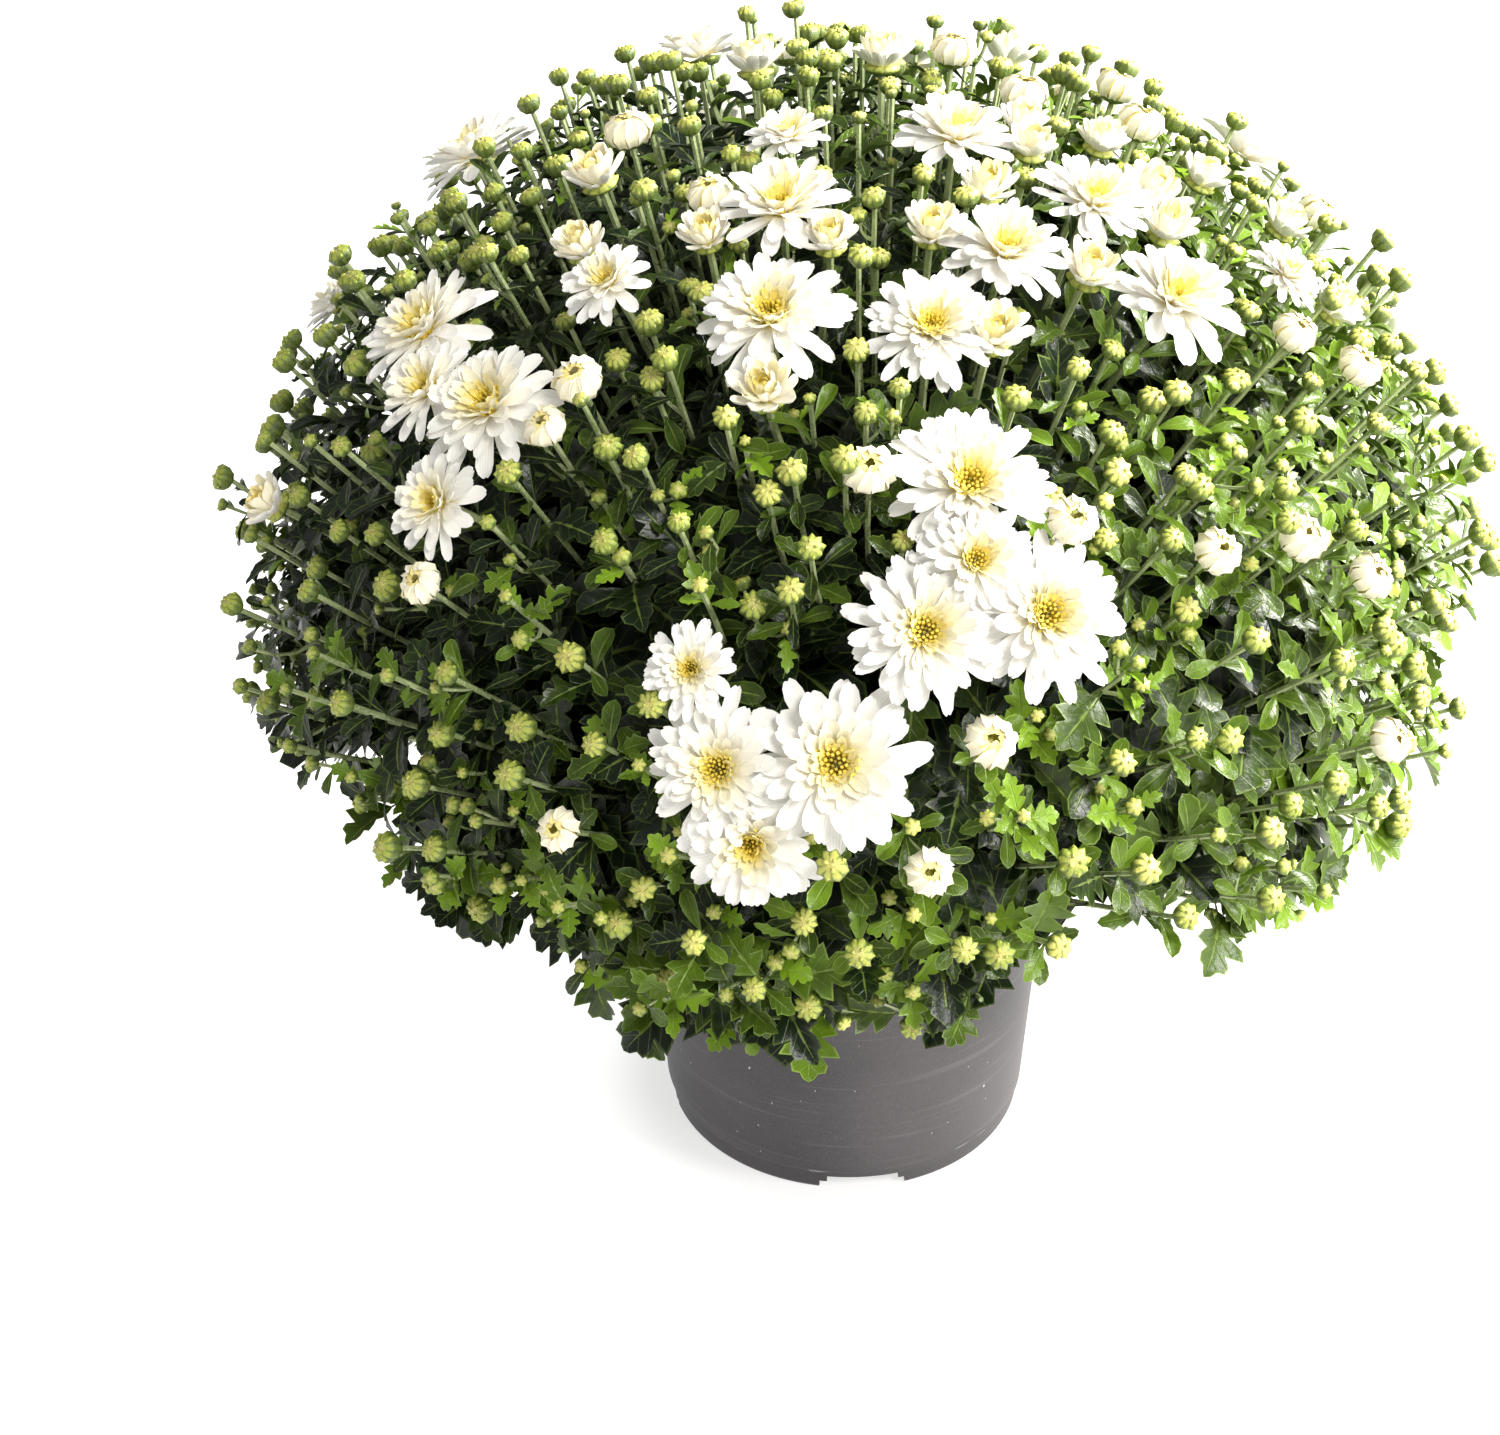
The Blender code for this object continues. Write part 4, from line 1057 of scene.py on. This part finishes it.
def add_leaf(foliage, shoot, back, turn, blooms, rng, young):
    """One leaf on a shoot, small and entire near the tip, and lobed and larger further down."""
    foot, along = shoot.place(back)
    level = axes_along(along, Vector((0.2, 0.1, 1))) @ level_at(turn)
    share = min(1, back / LARGEST_BACK)
    spread = math.radians(rng.uniform(*LEAF_SPREAD) + LEAF_SAG * share)
    lean = along * math.cos(spread) + level * math.sin(spread)
    face = along * math.sin(spread) - level * math.cos(spread)
    kind = leaf_kind(back, share, young, shoot.low, rng)
    length = leaf_length(kind, share, young, shoot.low, rng)
    tip = foot + lean * length
    if blocked(tip, blooms) or blocked(foot + lean * length / 2, blooms) or outside(tip) > LEAF_REACH:
        return
    if too_low(tip):
        return
    # The leaf's tone carries painted light and shade by where it stands.
    age = leaf_tone_with_painted_light(foot.x / DOME_RADIUS, share, shoot.high, young, rng)
    if foot.y > PLAIN_BEHIND:
        kind = PLAINER.get(kind, kind)
    width = rng.uniform(*LEAF_WIDTHS) * (1 - HIGH_NARROWER * shoot.high)
    fold, curl, wave = (rng.uniform(*limits) for limits in (LEAF_FOLDS, LEAF_CURLS, LEAF_WAVES))
    phase = rng.uniform(0, math.tau)
    foliage.leaves[kind].add(foot, lean, face, (length, width, fold, curl, wave, phase, age))


def add_bud(foliage, tip, axis, width, blooms, rng, ripe):
    """A bud with its foot at a stalk's end."""
    if blocked(tip + axis * width, blooms, 0.5 * MM):
        return False
    axis = (axis + Vector([rng.uniform(-0.2, 0.2) for _ in range(3)])).normalized()
    # Painted shade: buds towards the left keep less of their pale ripe top, and those at the middle a little
    # less.
    ripe *= min(1, max(0, PAINTED_BUD_LIGHT_MIDDLE + tip.x / DOME_RADIUS))
    kinds = foliage.buds if width > SMALL_BUD else foliage.small_buds
    rng.choice(kinds).add(tip, axis, width, rng.uniform(0, math.tau), ripe, rng.uniform(0.88, 1.12))
    return True


def bud_width(young, high, rng):
    """The width in mm of the bud at a shoot's tip."""
    limits = YOUNG_BUD_WIDTHS if young or rng.random() < SMALL_BUD_SHARE else BUD_WIDTHS
    return rng.uniform(*limits) * (1 - HIGH_BUD_SMALLER * high)


def grow_shoot(foliage, shoot, blooms, rng, opening, leaves):
    """The stem, buds and leaves of one shoot, which carries an opening bud if a width in mm is given."""
    young = not opening and rng.random() < YOUNG_SHARE * (1 - 0.75 * shoot.high)
    axis = shoot.place(0)[1]
    if opening:
        foliage.cups.add(shoot.tip, axis, opening * 0.92 * MM, rng.uniform(0, 6), 0.2, 1.25)
        heart = shoot.tip + axis * opening * 0.28 * MM
        foliage.small_buds[0].add(heart, axis, opening * 0.36 * MM, 0, 0.3)
    elif not shoot.low or rng.random() > BUDLESS_SHARE:
        width = bud_width(young, shoot.high, rng) * MM
        if not add_bud(foliage, shoot.tip, axis, width, blooms, rng, rng.random()):
            return
    tube(foliage.stems, shoot.path, np.linspace(*STEM_RADII, len(shoot.path)))
    start = rng.uniform(0, math.tau)
    bare = 0 if young else (0.25 + 0.3 * shoot.high) * BARE_TIP
    steps = LEAF_STEPS + EXTRA_STEPS if leaves == len(LEAF_STEPS) else LEAF_STEPS[:leaves]
    for k, step in enumerate(steps):
        back = step * MM * rng.uniform(0.9, 1.1) + bare
        turn = start + k * GOLDEN_TURN + rng.uniform(-0.4, 0.4)
        add_leaf(foliage, shoot, back, turn, blooms, rng, young and back < YOUNG_BACK)
    if leaves >= BACK_LEAVES:
        side_buds(foliage, shoot, blooms, rng, start)


def side_buds(foliage, shoot, blooms, rng, start):
    """Up to two smaller buds on their own leafy stalks below the tip."""
    for k in range(rng.choice((0, 0, 1, 1, 2))):
        back = rng.uniform(12, 34) * MM
        foot, along = shoot.place(back)
        level = axes_along(along, UP) @ level_at(start + 1.3 + k * 2.3)
        length = back * rng.uniform(0.45, 0.95)
        control = foot + (along * 0.5 + level * 0.8) * length * 0.6
        end = foot + along * length * 0.9 + level * rng.uniform(6, 12) * MM
        if outside(end) > 1.08 or blocked(end, blooms):
            continue
        axis = (end - control).normalized()
        width = rng.uniform(*SIDE_BUD_WIDTHS) * MM
        if not add_bud(foliage, end, axis, width, blooms, rng, rng.random() * 0.6):
            continue
        path = bent_path(foot, control, end, 3)
        tube(foliage.stems, path, SIDE_STALK_RADII, 4)
        stalk = Stalk(path, shoot.low, shoot.high)
        for leaf in range(2):
            near = min(length * 0.8, (4 + 4 * leaf) * MM)
            add_leaf(foliage, stalk, near, start + leaf * 2.4, blooms, rng, rng.random() < 0.3)


def shoulder(azimuth, height):
    """How much further the shoots reach at the back left of the top, where the dome is fuller."""
    (middle, rise), (wide, tall) = SHOULDER_MIDDLE, SHOULDER_SPREAD
    return SHOULDER_RISE * math.exp(-((azimuth - middle) / wide) ** 2 - ((height - rise) / tall) ** 2)


def shoot_tips(rng, count, lowest, first):
    """Tips spread over the dome's skin above a lowest rise by the golden angle, with a little scatter."""
    tips = []
    for k in range(count):
        rise = lowest + (1 - lowest) * (k + 0.5) / count
        azimuth = (first + k * GOLDEN_ANGLE) % 360 - 180
        height = math.degrees(math.asin(rise))
        if height < skirt(azimuth):
            continue
        scatter = Vector([rng.uniform(-1, 1) for _ in range(3)]) * SHOOT_JITTER
        point = dome_point(azimuth, height) + scatter
        reach = rng.uniform(*SHOOT_REACH) + shoulder(azimuth, height)
        tips.append(HEART + (point - HEART) * reach / max(1, outside(point)))
    return tips


def leaves_at(tip):
    """How many leaves a shoot carries at most: fewer at the back, and fewest low down there."""
    if tip.z < SKIRT_TIP and tip.y > -2 * BACK_TIP:
        return SKIRT_LEAVES
    return BACK_LEAVES if tip.y > BACK_TIP else len(LEAF_STEPS)


def spray_stem(foliage):
    """The woody stem from the soil up to where the shoots part."""
    site = SITES[foliage.number]
    ground = Vector((site.x, site.y, 0)) * CROWN_RADIUS + UP * SOIL_TOP
    path = bent_path(ground - UP * STEM_SINK, ground + UP * TRUNK_RISE, HEART + site * TRUNK_LENGTH, 8)
    tube(foliage.stems, path, np.linspace(*TRUNK_RADII, len(path)), 7)


def bloom_stalk(foliage, bloom, blooms, rng):
    """A bloom's stalk and green cup, with a few leaves on it."""
    shoot = Shoot(bloom.base, rng)
    shoot.path = bent_path(shoot.path[0], bloom.base - bloom.axis * BLOOM_STALK_BEND, bloom.base, 12)
    tube(foliage.stems, shoot.path, np.linspace(*BLOOM_STALK_RADII, len(shoot.path)))
    width = bloom.reach * CUP_SHARES[bloom.stage]
    foliage.cups.add(bloom.base - bloom.axis * MM, bloom.axis, width, rng.uniform(0, 6), 0.3)
    for k, step in enumerate(LEAF_STEPS[3:]):
        add_leaf(foliage, shoot, step * MM, k * GOLDEN_TURN, blooms, rng, False)


def petal_rows(stage, rng):
    """The values that shape each petal of a bloom."""
    rows = []
    loose = 0.3 if stage == "bud" else 1
    fullness = 1 + loose * rng.uniform(-0.2, 0.08)
    for layer, values in enumerate(LAYERS[stage]):
        count, length, width, foot, high, low_rise, top_rise, cup, cream = values
        count = round(count * fullness)
        for k in range(count):
            rows.append((
                math.tau * (k + 0.5 * layer) / count + loose * rng.uniform(-0.12, 0.12),
                length * (1 + loose * rng.uniform(-0.16, 0.03)),
                width / fullness * (1 + loose * rng.uniform(-0.2, 0.15)),
                foot,
                high,
                math.radians(low_rise + loose * rng.uniform(-6, 6)),
                math.radians(top_rise + loose * rng.uniform(-16, 14)),
                cup * rng.uniform(0.4, 1.5),
                cream,
                loose * rng.uniform(-0.14, 0.14) + 0.12 * (1 - loose),
            ))
    return rows


def petal_points(rows, template, reach):
    """The points and tones of some petals of a bloom, with the bloom's axis along +Z."""
    values = np.array(rows)[:, :, None]
    turn, length, width, foot, high, low_rise, top_rise, cup, cream, sway = (values[:, k] for k in range(10))
    along, across, half, side = (template.points[:, k][None] for k in range(4))
    bend = top_rise - low_rise
    bend = np.where(np.abs(bend) < 0.02, 0.02, bend)
    rise = low_rise + bend * along
    notch = 0.02 * (along > 0.97) * (np.abs(across) < 0.2)
    radial = foot + length * (np.sin(rise) - np.sin(low_rise)) / bend - notch
    up = high + length * (np.cos(low_rise) - np.cos(rise)) / bend
    groove = 0.09 * (np.abs(np.abs(across) - 0.5) < 0.1)
    lift = width * half * (cup * across ** 2 - groove) + side * PETAL_THICKNESS / 2 / reach
    radial = radial - lift * np.sin(rise)
    up = up + lift * np.cos(rise)
    level = width * half * across + length * sway * along ** 2
    x = radial * np.cos(turn) - level * np.sin(turn)
    y = radial * np.sin(turn) + level * np.cos(turn)
    tones = np.stack([along + 0 * up, across + 0 * up, cream + 0 * up], axis=2)
    return np.stack([x, y, up], axis=2) * reach, tones


def pour_petals(heap, stage, reach, turn, base, rng):
    """A bloom's petals: fine ones outside, and simpler small ones inside."""
    rows = petal_rows(stage, rng)
    large = [row for row in rows if row[1] > SMALL_PETAL_LENGTH]
    small = [row for row in rows if row[1] <= SMALL_PETAL_LENGTH]
    for part, template in ((large, BUD_PETAL if stage == "bud" else PETAL), (small, SMALL_PETAL)):
        if part:
            points, tones = petal_points(part, template, reach)
            points[:, :, 2] *= BUD_FLATNESS if stage == "bud" else 1
            heap.add_copies(points @ np.array(turn).T + np.array(base), template, tones)


def bloom_mesh(bloom, rng, petal):
    """All the petals of one bloom."""
    heap = Heap()
    pour_petals(heap, bloom.stage, bloom.reach, bloom.turn, bloom.base, rng)
    obj = heap.build(f"bloom_petals_{bloom.number:02d}", [petal])
    node = f"bloom_{bloom.number:02d}"
    if node in frame["nodes"]:
        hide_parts(node)


def opening_buds(places, petal):
    """Buds that have begun to open: balls of cream petals that curl in to a small dark middle."""
    heap = Heap()
    for k, (tip, axis, width) in enumerate(places):
        rng = random.Random(900 + k)
        turn = axes_along(axis, heading(rng.uniform(0, 360)))
        pour_petals(heap, "bud", width * OPENING_SHARE, turn, tip + axis * width * 0.08, rng)
    obj = heap.build("opening_buds", [petal])


def eye_mesh(bloom, rng, floret):
    """The heap of tiny tube florets in a bloom's middle, with the unripe dark ones in its own middle."""
    heap = Heap()
    count = EYE_FLORETS[bloom.stage]
    radius = EYE_RADIUS * bloom.reach * math.sqrt(count / EYE_FLORETS["full"])
    for k in range(count):
        share = math.sqrt((k + 0.5) / count)
        level = level_at(k * GOLDEN_TURN)
        foot = level * share * radius + Vector((0, 0, EYE_FOOT * bloom.reach))
        lean = (level * share * 0.6 + UP).normalized()
        length = (0.13 + 0.10 * share) * bloom.reach * rng.uniform(0.85, 1.15)
        size = (0.016 + 0.010 * share) * bloom.reach
        path = [foot, foot + lean * length * 0.7, foot + lean * length]
        tube(heap, [bloom.base + bloom.turn @ point for point in path], (size * 0.8, size, size * 1.3), 4)
        heap.tones[-1][:, 0] = share
        heap.tones[-1][8:, 1] = 1
    obj = heap.build(f"bloom_eye_{bloom.number:02d}", [floret])
    node = f"eye_{bloom.number:02d}"
    if node in frame["nodes"]:
        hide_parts(node)


def pot_profile(lip, top):
    """The pot's section as radii and heights, from the lip down its outside, and up its inside again."""
    wall = lip - LIP_STEP
    runs = (
        (lip, top, LIP_RUN), (wall, top, WALL_RUN), (LOW_WALL, 0, BAND_RUN), (0, 0, FOOT_RUN),
        (wall, top, INNER_WALL_RUN), (lip, top, INNER_LIP_RUN),
    )
    return [(radius + out * MM, height + up * MM) for radius, height, run in runs for out, up in run]


def turned(name, profile):
    """A profile of (radius, height) points that a modifier turns round the pot's axis."""
    mesh = bpy.data.meshes.new(name)
    points = [(radius, 0, height) for radius, height in profile]
    mesh.from_pydata(points, [(k, k + 1) for k in range(len(points) - 1)], [])
    obj = placed(name, mesh)
    screw = obj.modifiers.new("Turn", "SCREW")
    screw.steps = POT_STEPS
    screw.render_steps = POT_STEPS
    screw.use_merge_vertices = True
    screw.merge_threshold = 0.00001
    return obj


def drainage():
    """A collection of cutters: four notches in the foot, and a hole between each two of them."""
    cutters = bpy.data.collections.new("pot_cutters")
    for k in range(4):
        out = heading(NOTCH_AZIMUTH + 90 * k)
        notch = bmesh.new()
        bmesh.ops.create_cube(notch, size=1)
        bmesh.ops.scale(notch, vec=NOTCH_SIZE, verts=notch.verts)
        upright = [e for e in notch.edges if abs((e.verts[0].co - e.verts[1].co).x) > MM]
        bmesh.ops.bevel(notch, geom=upright, offset=NOTCH_ROUND, segments=4, affect="EDGES")
        turn = Matrix((out, UP.cross(out), UP)).transposed().to_4x4()
        notch.transform(Matrix.Translation(out * BASE_RADIUS) @ turn)
        drain = bmesh.new()
        bmesh.ops.create_cone(
            drain, cap_ends=True, segments=24, radius1=DRAIN_RADIUS, radius2=DRAIN_RADIUS, depth=12 * MM
        )
        middle = heading(NOTCH_AZIMUTH + 45 + 90 * k) * DRAIN_PLACE + UP * 6 * MM
        drain.transform(Matrix.Translation(middle))
        for name, shape in (("notch_cutter", notch), ("drain_cutter", drain)):
            mesh = bpy.data.meshes.new(name)
            shape.to_mesh(mesh)
            shape.free()
            cutters.objects.link(bpy.data.objects.new(name, mesh))
    return cutters


def make_pot(plastic):
    """The pot at full smoothness: rolled lip, tapered wall, foot band, drain notches and drain holes."""
    _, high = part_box("pot")
    pot = turned("pot_body", pot_profile(high.x, high.z))
    cutters = drainage()
    cut = pot.modifiers.new("Drainage", "BOOLEAN")
    cut.operation = "DIFFERENCE"
    cut.operand_type = "COLLECTION"
    cut.collection = cutters
    bpy.context.view_layer.update()
    graph = bpy.context.evaluated_depsgraph_get()
    mesh = bpy.data.meshes.new_from_object(pot.evaluated_get(graph))
    pot.modifiers.clear()
    pot.data = mesh
    for obj in list(cutters.objects):
        bpy.data.objects.remove(obj, do_unlink=True)
    bpy.data.collections.remove(cutters)
    mesh.materials.clear()
    mesh.materials.append(plastic)
    mesh.shade_smooth()
    mesh.set_sharp_from_angle(angle=math.radians(38))
    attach(pot, "root")
    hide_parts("pot")


def make_soil(earth):
    """Crumbly soil: the same plug as in the part, with a rough top."""
    low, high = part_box("soil")
    rings, sides = SOIL_RINGS
    points = [(0, 0, SOIL_TOP)]
    for r in range(1, rings + 1):
        for k in range(sides):
            turn = math.tau * k / sides
            radius = high.x * r / rings
            place = Vector((radius * math.cos(turn), radius * math.sin(turn), 0))
            rough = noise.noise(place * 90) * 2.4 * MM + noise.noise(place * 320) * 1.5 * MM
            fade = 1 if r < rings else 0
            points.append((place.x, place.y, SOIL_TOP - 1.5 * MM * (r / rings) ** 2 + rough * fade))
    foot = high.x - SOIL_TAPER
    for k in range(sides):
        turn = math.tau * k / sides
        points.append((foot * math.cos(turn), foot * math.sin(turn), low.z))
    points.append((0, 0, low.z))
    faces = ring_faces(sides, rings + 1, 1, 0, len(points) - 1)
    heap = Heap()
    heap.add(np.array(points), np.array(faces)[:, ::-1])
    obj = heap.build("soil_crumbs", [earth])
    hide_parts("soil")


def make_stage():
    """A wide pale floor."""
    bm = bmesh.new()
    bmesh.ops.create_grid(bm, x_segments=1, y_segments=1, size=6)
    mesh = bpy.data.meshes.new("floor")
    bm.to_mesh(mesh)
    bm.free()
    mesh.materials.append(floor_look())
    floor = placed("floor", mesh)


def area_light(name, place, aim, size, power, colour):
    light = bpy.data.lights.new(name, "AREA")
    light.shape = "DISK"
    light.size = size
    light.energy = power
    light.color = colour
    obj = placed(name, light)
    obj.location = place
    obj.rotation_euler = (Vector(aim) - Vector(place)).to_track_quat("-Z", "Y").to_euler()


def make_lights():
    """A white room that fills softly, a strong key from behind on the right, and two lights in front."""
    world = bpy.data.worlds.new("studio")
    world.use_nodes = True
    tree = world.node_tree
    background = tree.nodes["Background"]
    background.inputs["Color"].default_value = (1, 1, 1, 1)
    seen = tree.nodes.new("ShaderNodeLightPath").outputs["Is Camera Ray"]
    strength = tree.nodes.new("ShaderNodeMapRange")
    strength.inputs["To Min"].default_value = ROOM_LIGHT
    strength.inputs["To Max"].default_value = 1.0
    tree.links.new(seen, strength.inputs["Value"])
    tree.links.new(strength.outputs["Result"], background.inputs["Strength"])
    scene = bpy.context.scene
    scene.world = world
    area_light("key", (1.6, 0.7, 1.5), (0.05, 0, 0.3), 0.9, 155, (1.0, 0.985, 0.95))
    area_light("side", (2.0, -0.8, 1.0), (0.05, 0, 0.3), 0.8, 44, (1.0, 0.99, 0.96))
    area_light("front", (0.8, -1.4, 1.9), (0, 0, 0.25), 0.8, 33, (1.0, 0.99, 0.97))
    scene.view_settings.view_transform = "Standard"
    scene.cycles.max_bounces = 4
    scene.cycles.diffuse_bounces = 3
    scene.cycles.glossy_bounces = 2


def make_camera():
    camera = bpy.data.cameras.new("camera")
    camera.lens = CAMERA_LENS
    camera.sensor_width = CAMERA_SENSOR
    obj = placed("camera", camera)
    obj.location = CAMERA_PLACE
    obj.rotation_euler = (math.radians(CAMERA_TILT), 0, 0)
    bpy.context.scene.camera = obj


def grow_openings(sprays, blooms, rng):
    """The shoots with opening buds: the tip, the axis and the width of each bud."""
    places = []
    for azimuth, height, full_width in OPENING_BUDS:
        width = full_width * OPENING_SIZE
        tip = HEART + (dome_point(azimuth, height) - HEART) * OPENING_REACH
        if blocked(tip, blooms, OPENING_ROOM):
            continue
        shoot = Shoot(tip, rng)
        grow_shoot(sprays[shoot.spray], shoot, blooms, rng, width, len(LEAF_STEPS))
        places.append((tip, shoot.place(0)[1], width * MM))
    return places


def grow_shoots(sprays, blooms, rng, taken):
    """All the other shoots, in rounds that keep clear of the tips already taken."""
    for count, lowest, first, room, leaves in SHOOT_ROUNDS:
        grown = []
        for tip in shoot_tips(rng, count, lowest, first):
            near = taken + grown if lowest > 0 else taken
            if any((tip - other).length < room for other in near) or blocked(tip, blooms):
                continue
            shoot = Shoot(tip, rng)
            grow_shoot(sprays[shoot.spray], shoot, blooms, rng, 0, min(leaves, leaves_at(tip)))
            grown.append(tip)
        taken = taken + grown


def spray_meshes(foliage, leaf, under, stem, bud):
    """The leaves, stems and buds of one spray."""
    number = foliage.number + 1
    heap = Heap()
    for kind in foliage.leaves.values():
        kind.pour(heap)
    leaves = heap.build(f"leaves_{number:02d}", [leaf, under])
    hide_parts(f"spray_{number:02d}")
    stems = foliage.stems.build(f"stems_{number:02d}", [stem])
    heap = Heap()
    for globes in (*foliage.buds, *foliage.small_buds, foliage.cups):
        globes.pour(heap)
    buds = heap.build(f"buds_{number:02d}", [bud], 130)


def make_foliage(blooms, petal):
    """The twelve sprays with all their shoots, and the opening buds on some of them."""
    rng = random.Random(11)
    sprays = [Foliage(k) for k in range(SPRAYS)]
    for foliage in sprays:
        spray_stem(foliage)
    for bloom in blooms:
        bloom_stalk(sprays[owner(bloom.base)], bloom, blooms, rng)
    places = grow_openings(sprays, blooms, rng)
    grow_shoots(sprays, blooms, rng, [tip for tip, _, _ in places])
    opening_buds(places, petal)
    leaf = leaf_look("leaf_upper", srgb(14, 30, 8), srgb(124, 158, 32), srgb(152, 176, 84), 0.3)
    under = leaf_look("leaf_under", srgb(44, 64, 34), srgb(132, 160, 52), srgb(160, 178, 110), 0.5)
    stem, bud = stem_look(), bud_look()
    for foliage in sprays:
        spray_meshes(foliage, leaf, under, stem, bud)


def main():
    make_camera()
    make_lights()
    make_stage()
    make_pot(pot_look())
    make_soil(soil_look())
    blooms = [Bloom(k + 1, *row) for k, row in enumerate(BLOOMS)]
    petal = petal_look()
    floret = floret_look()
    make_foliage(blooms, petal)
    for bloom in blooms:
        rng = random.Random(500 + bloom.number)
        bloom_mesh(bloom, rng, petal)
        eye_mesh(bloom, rng, floret)


main()
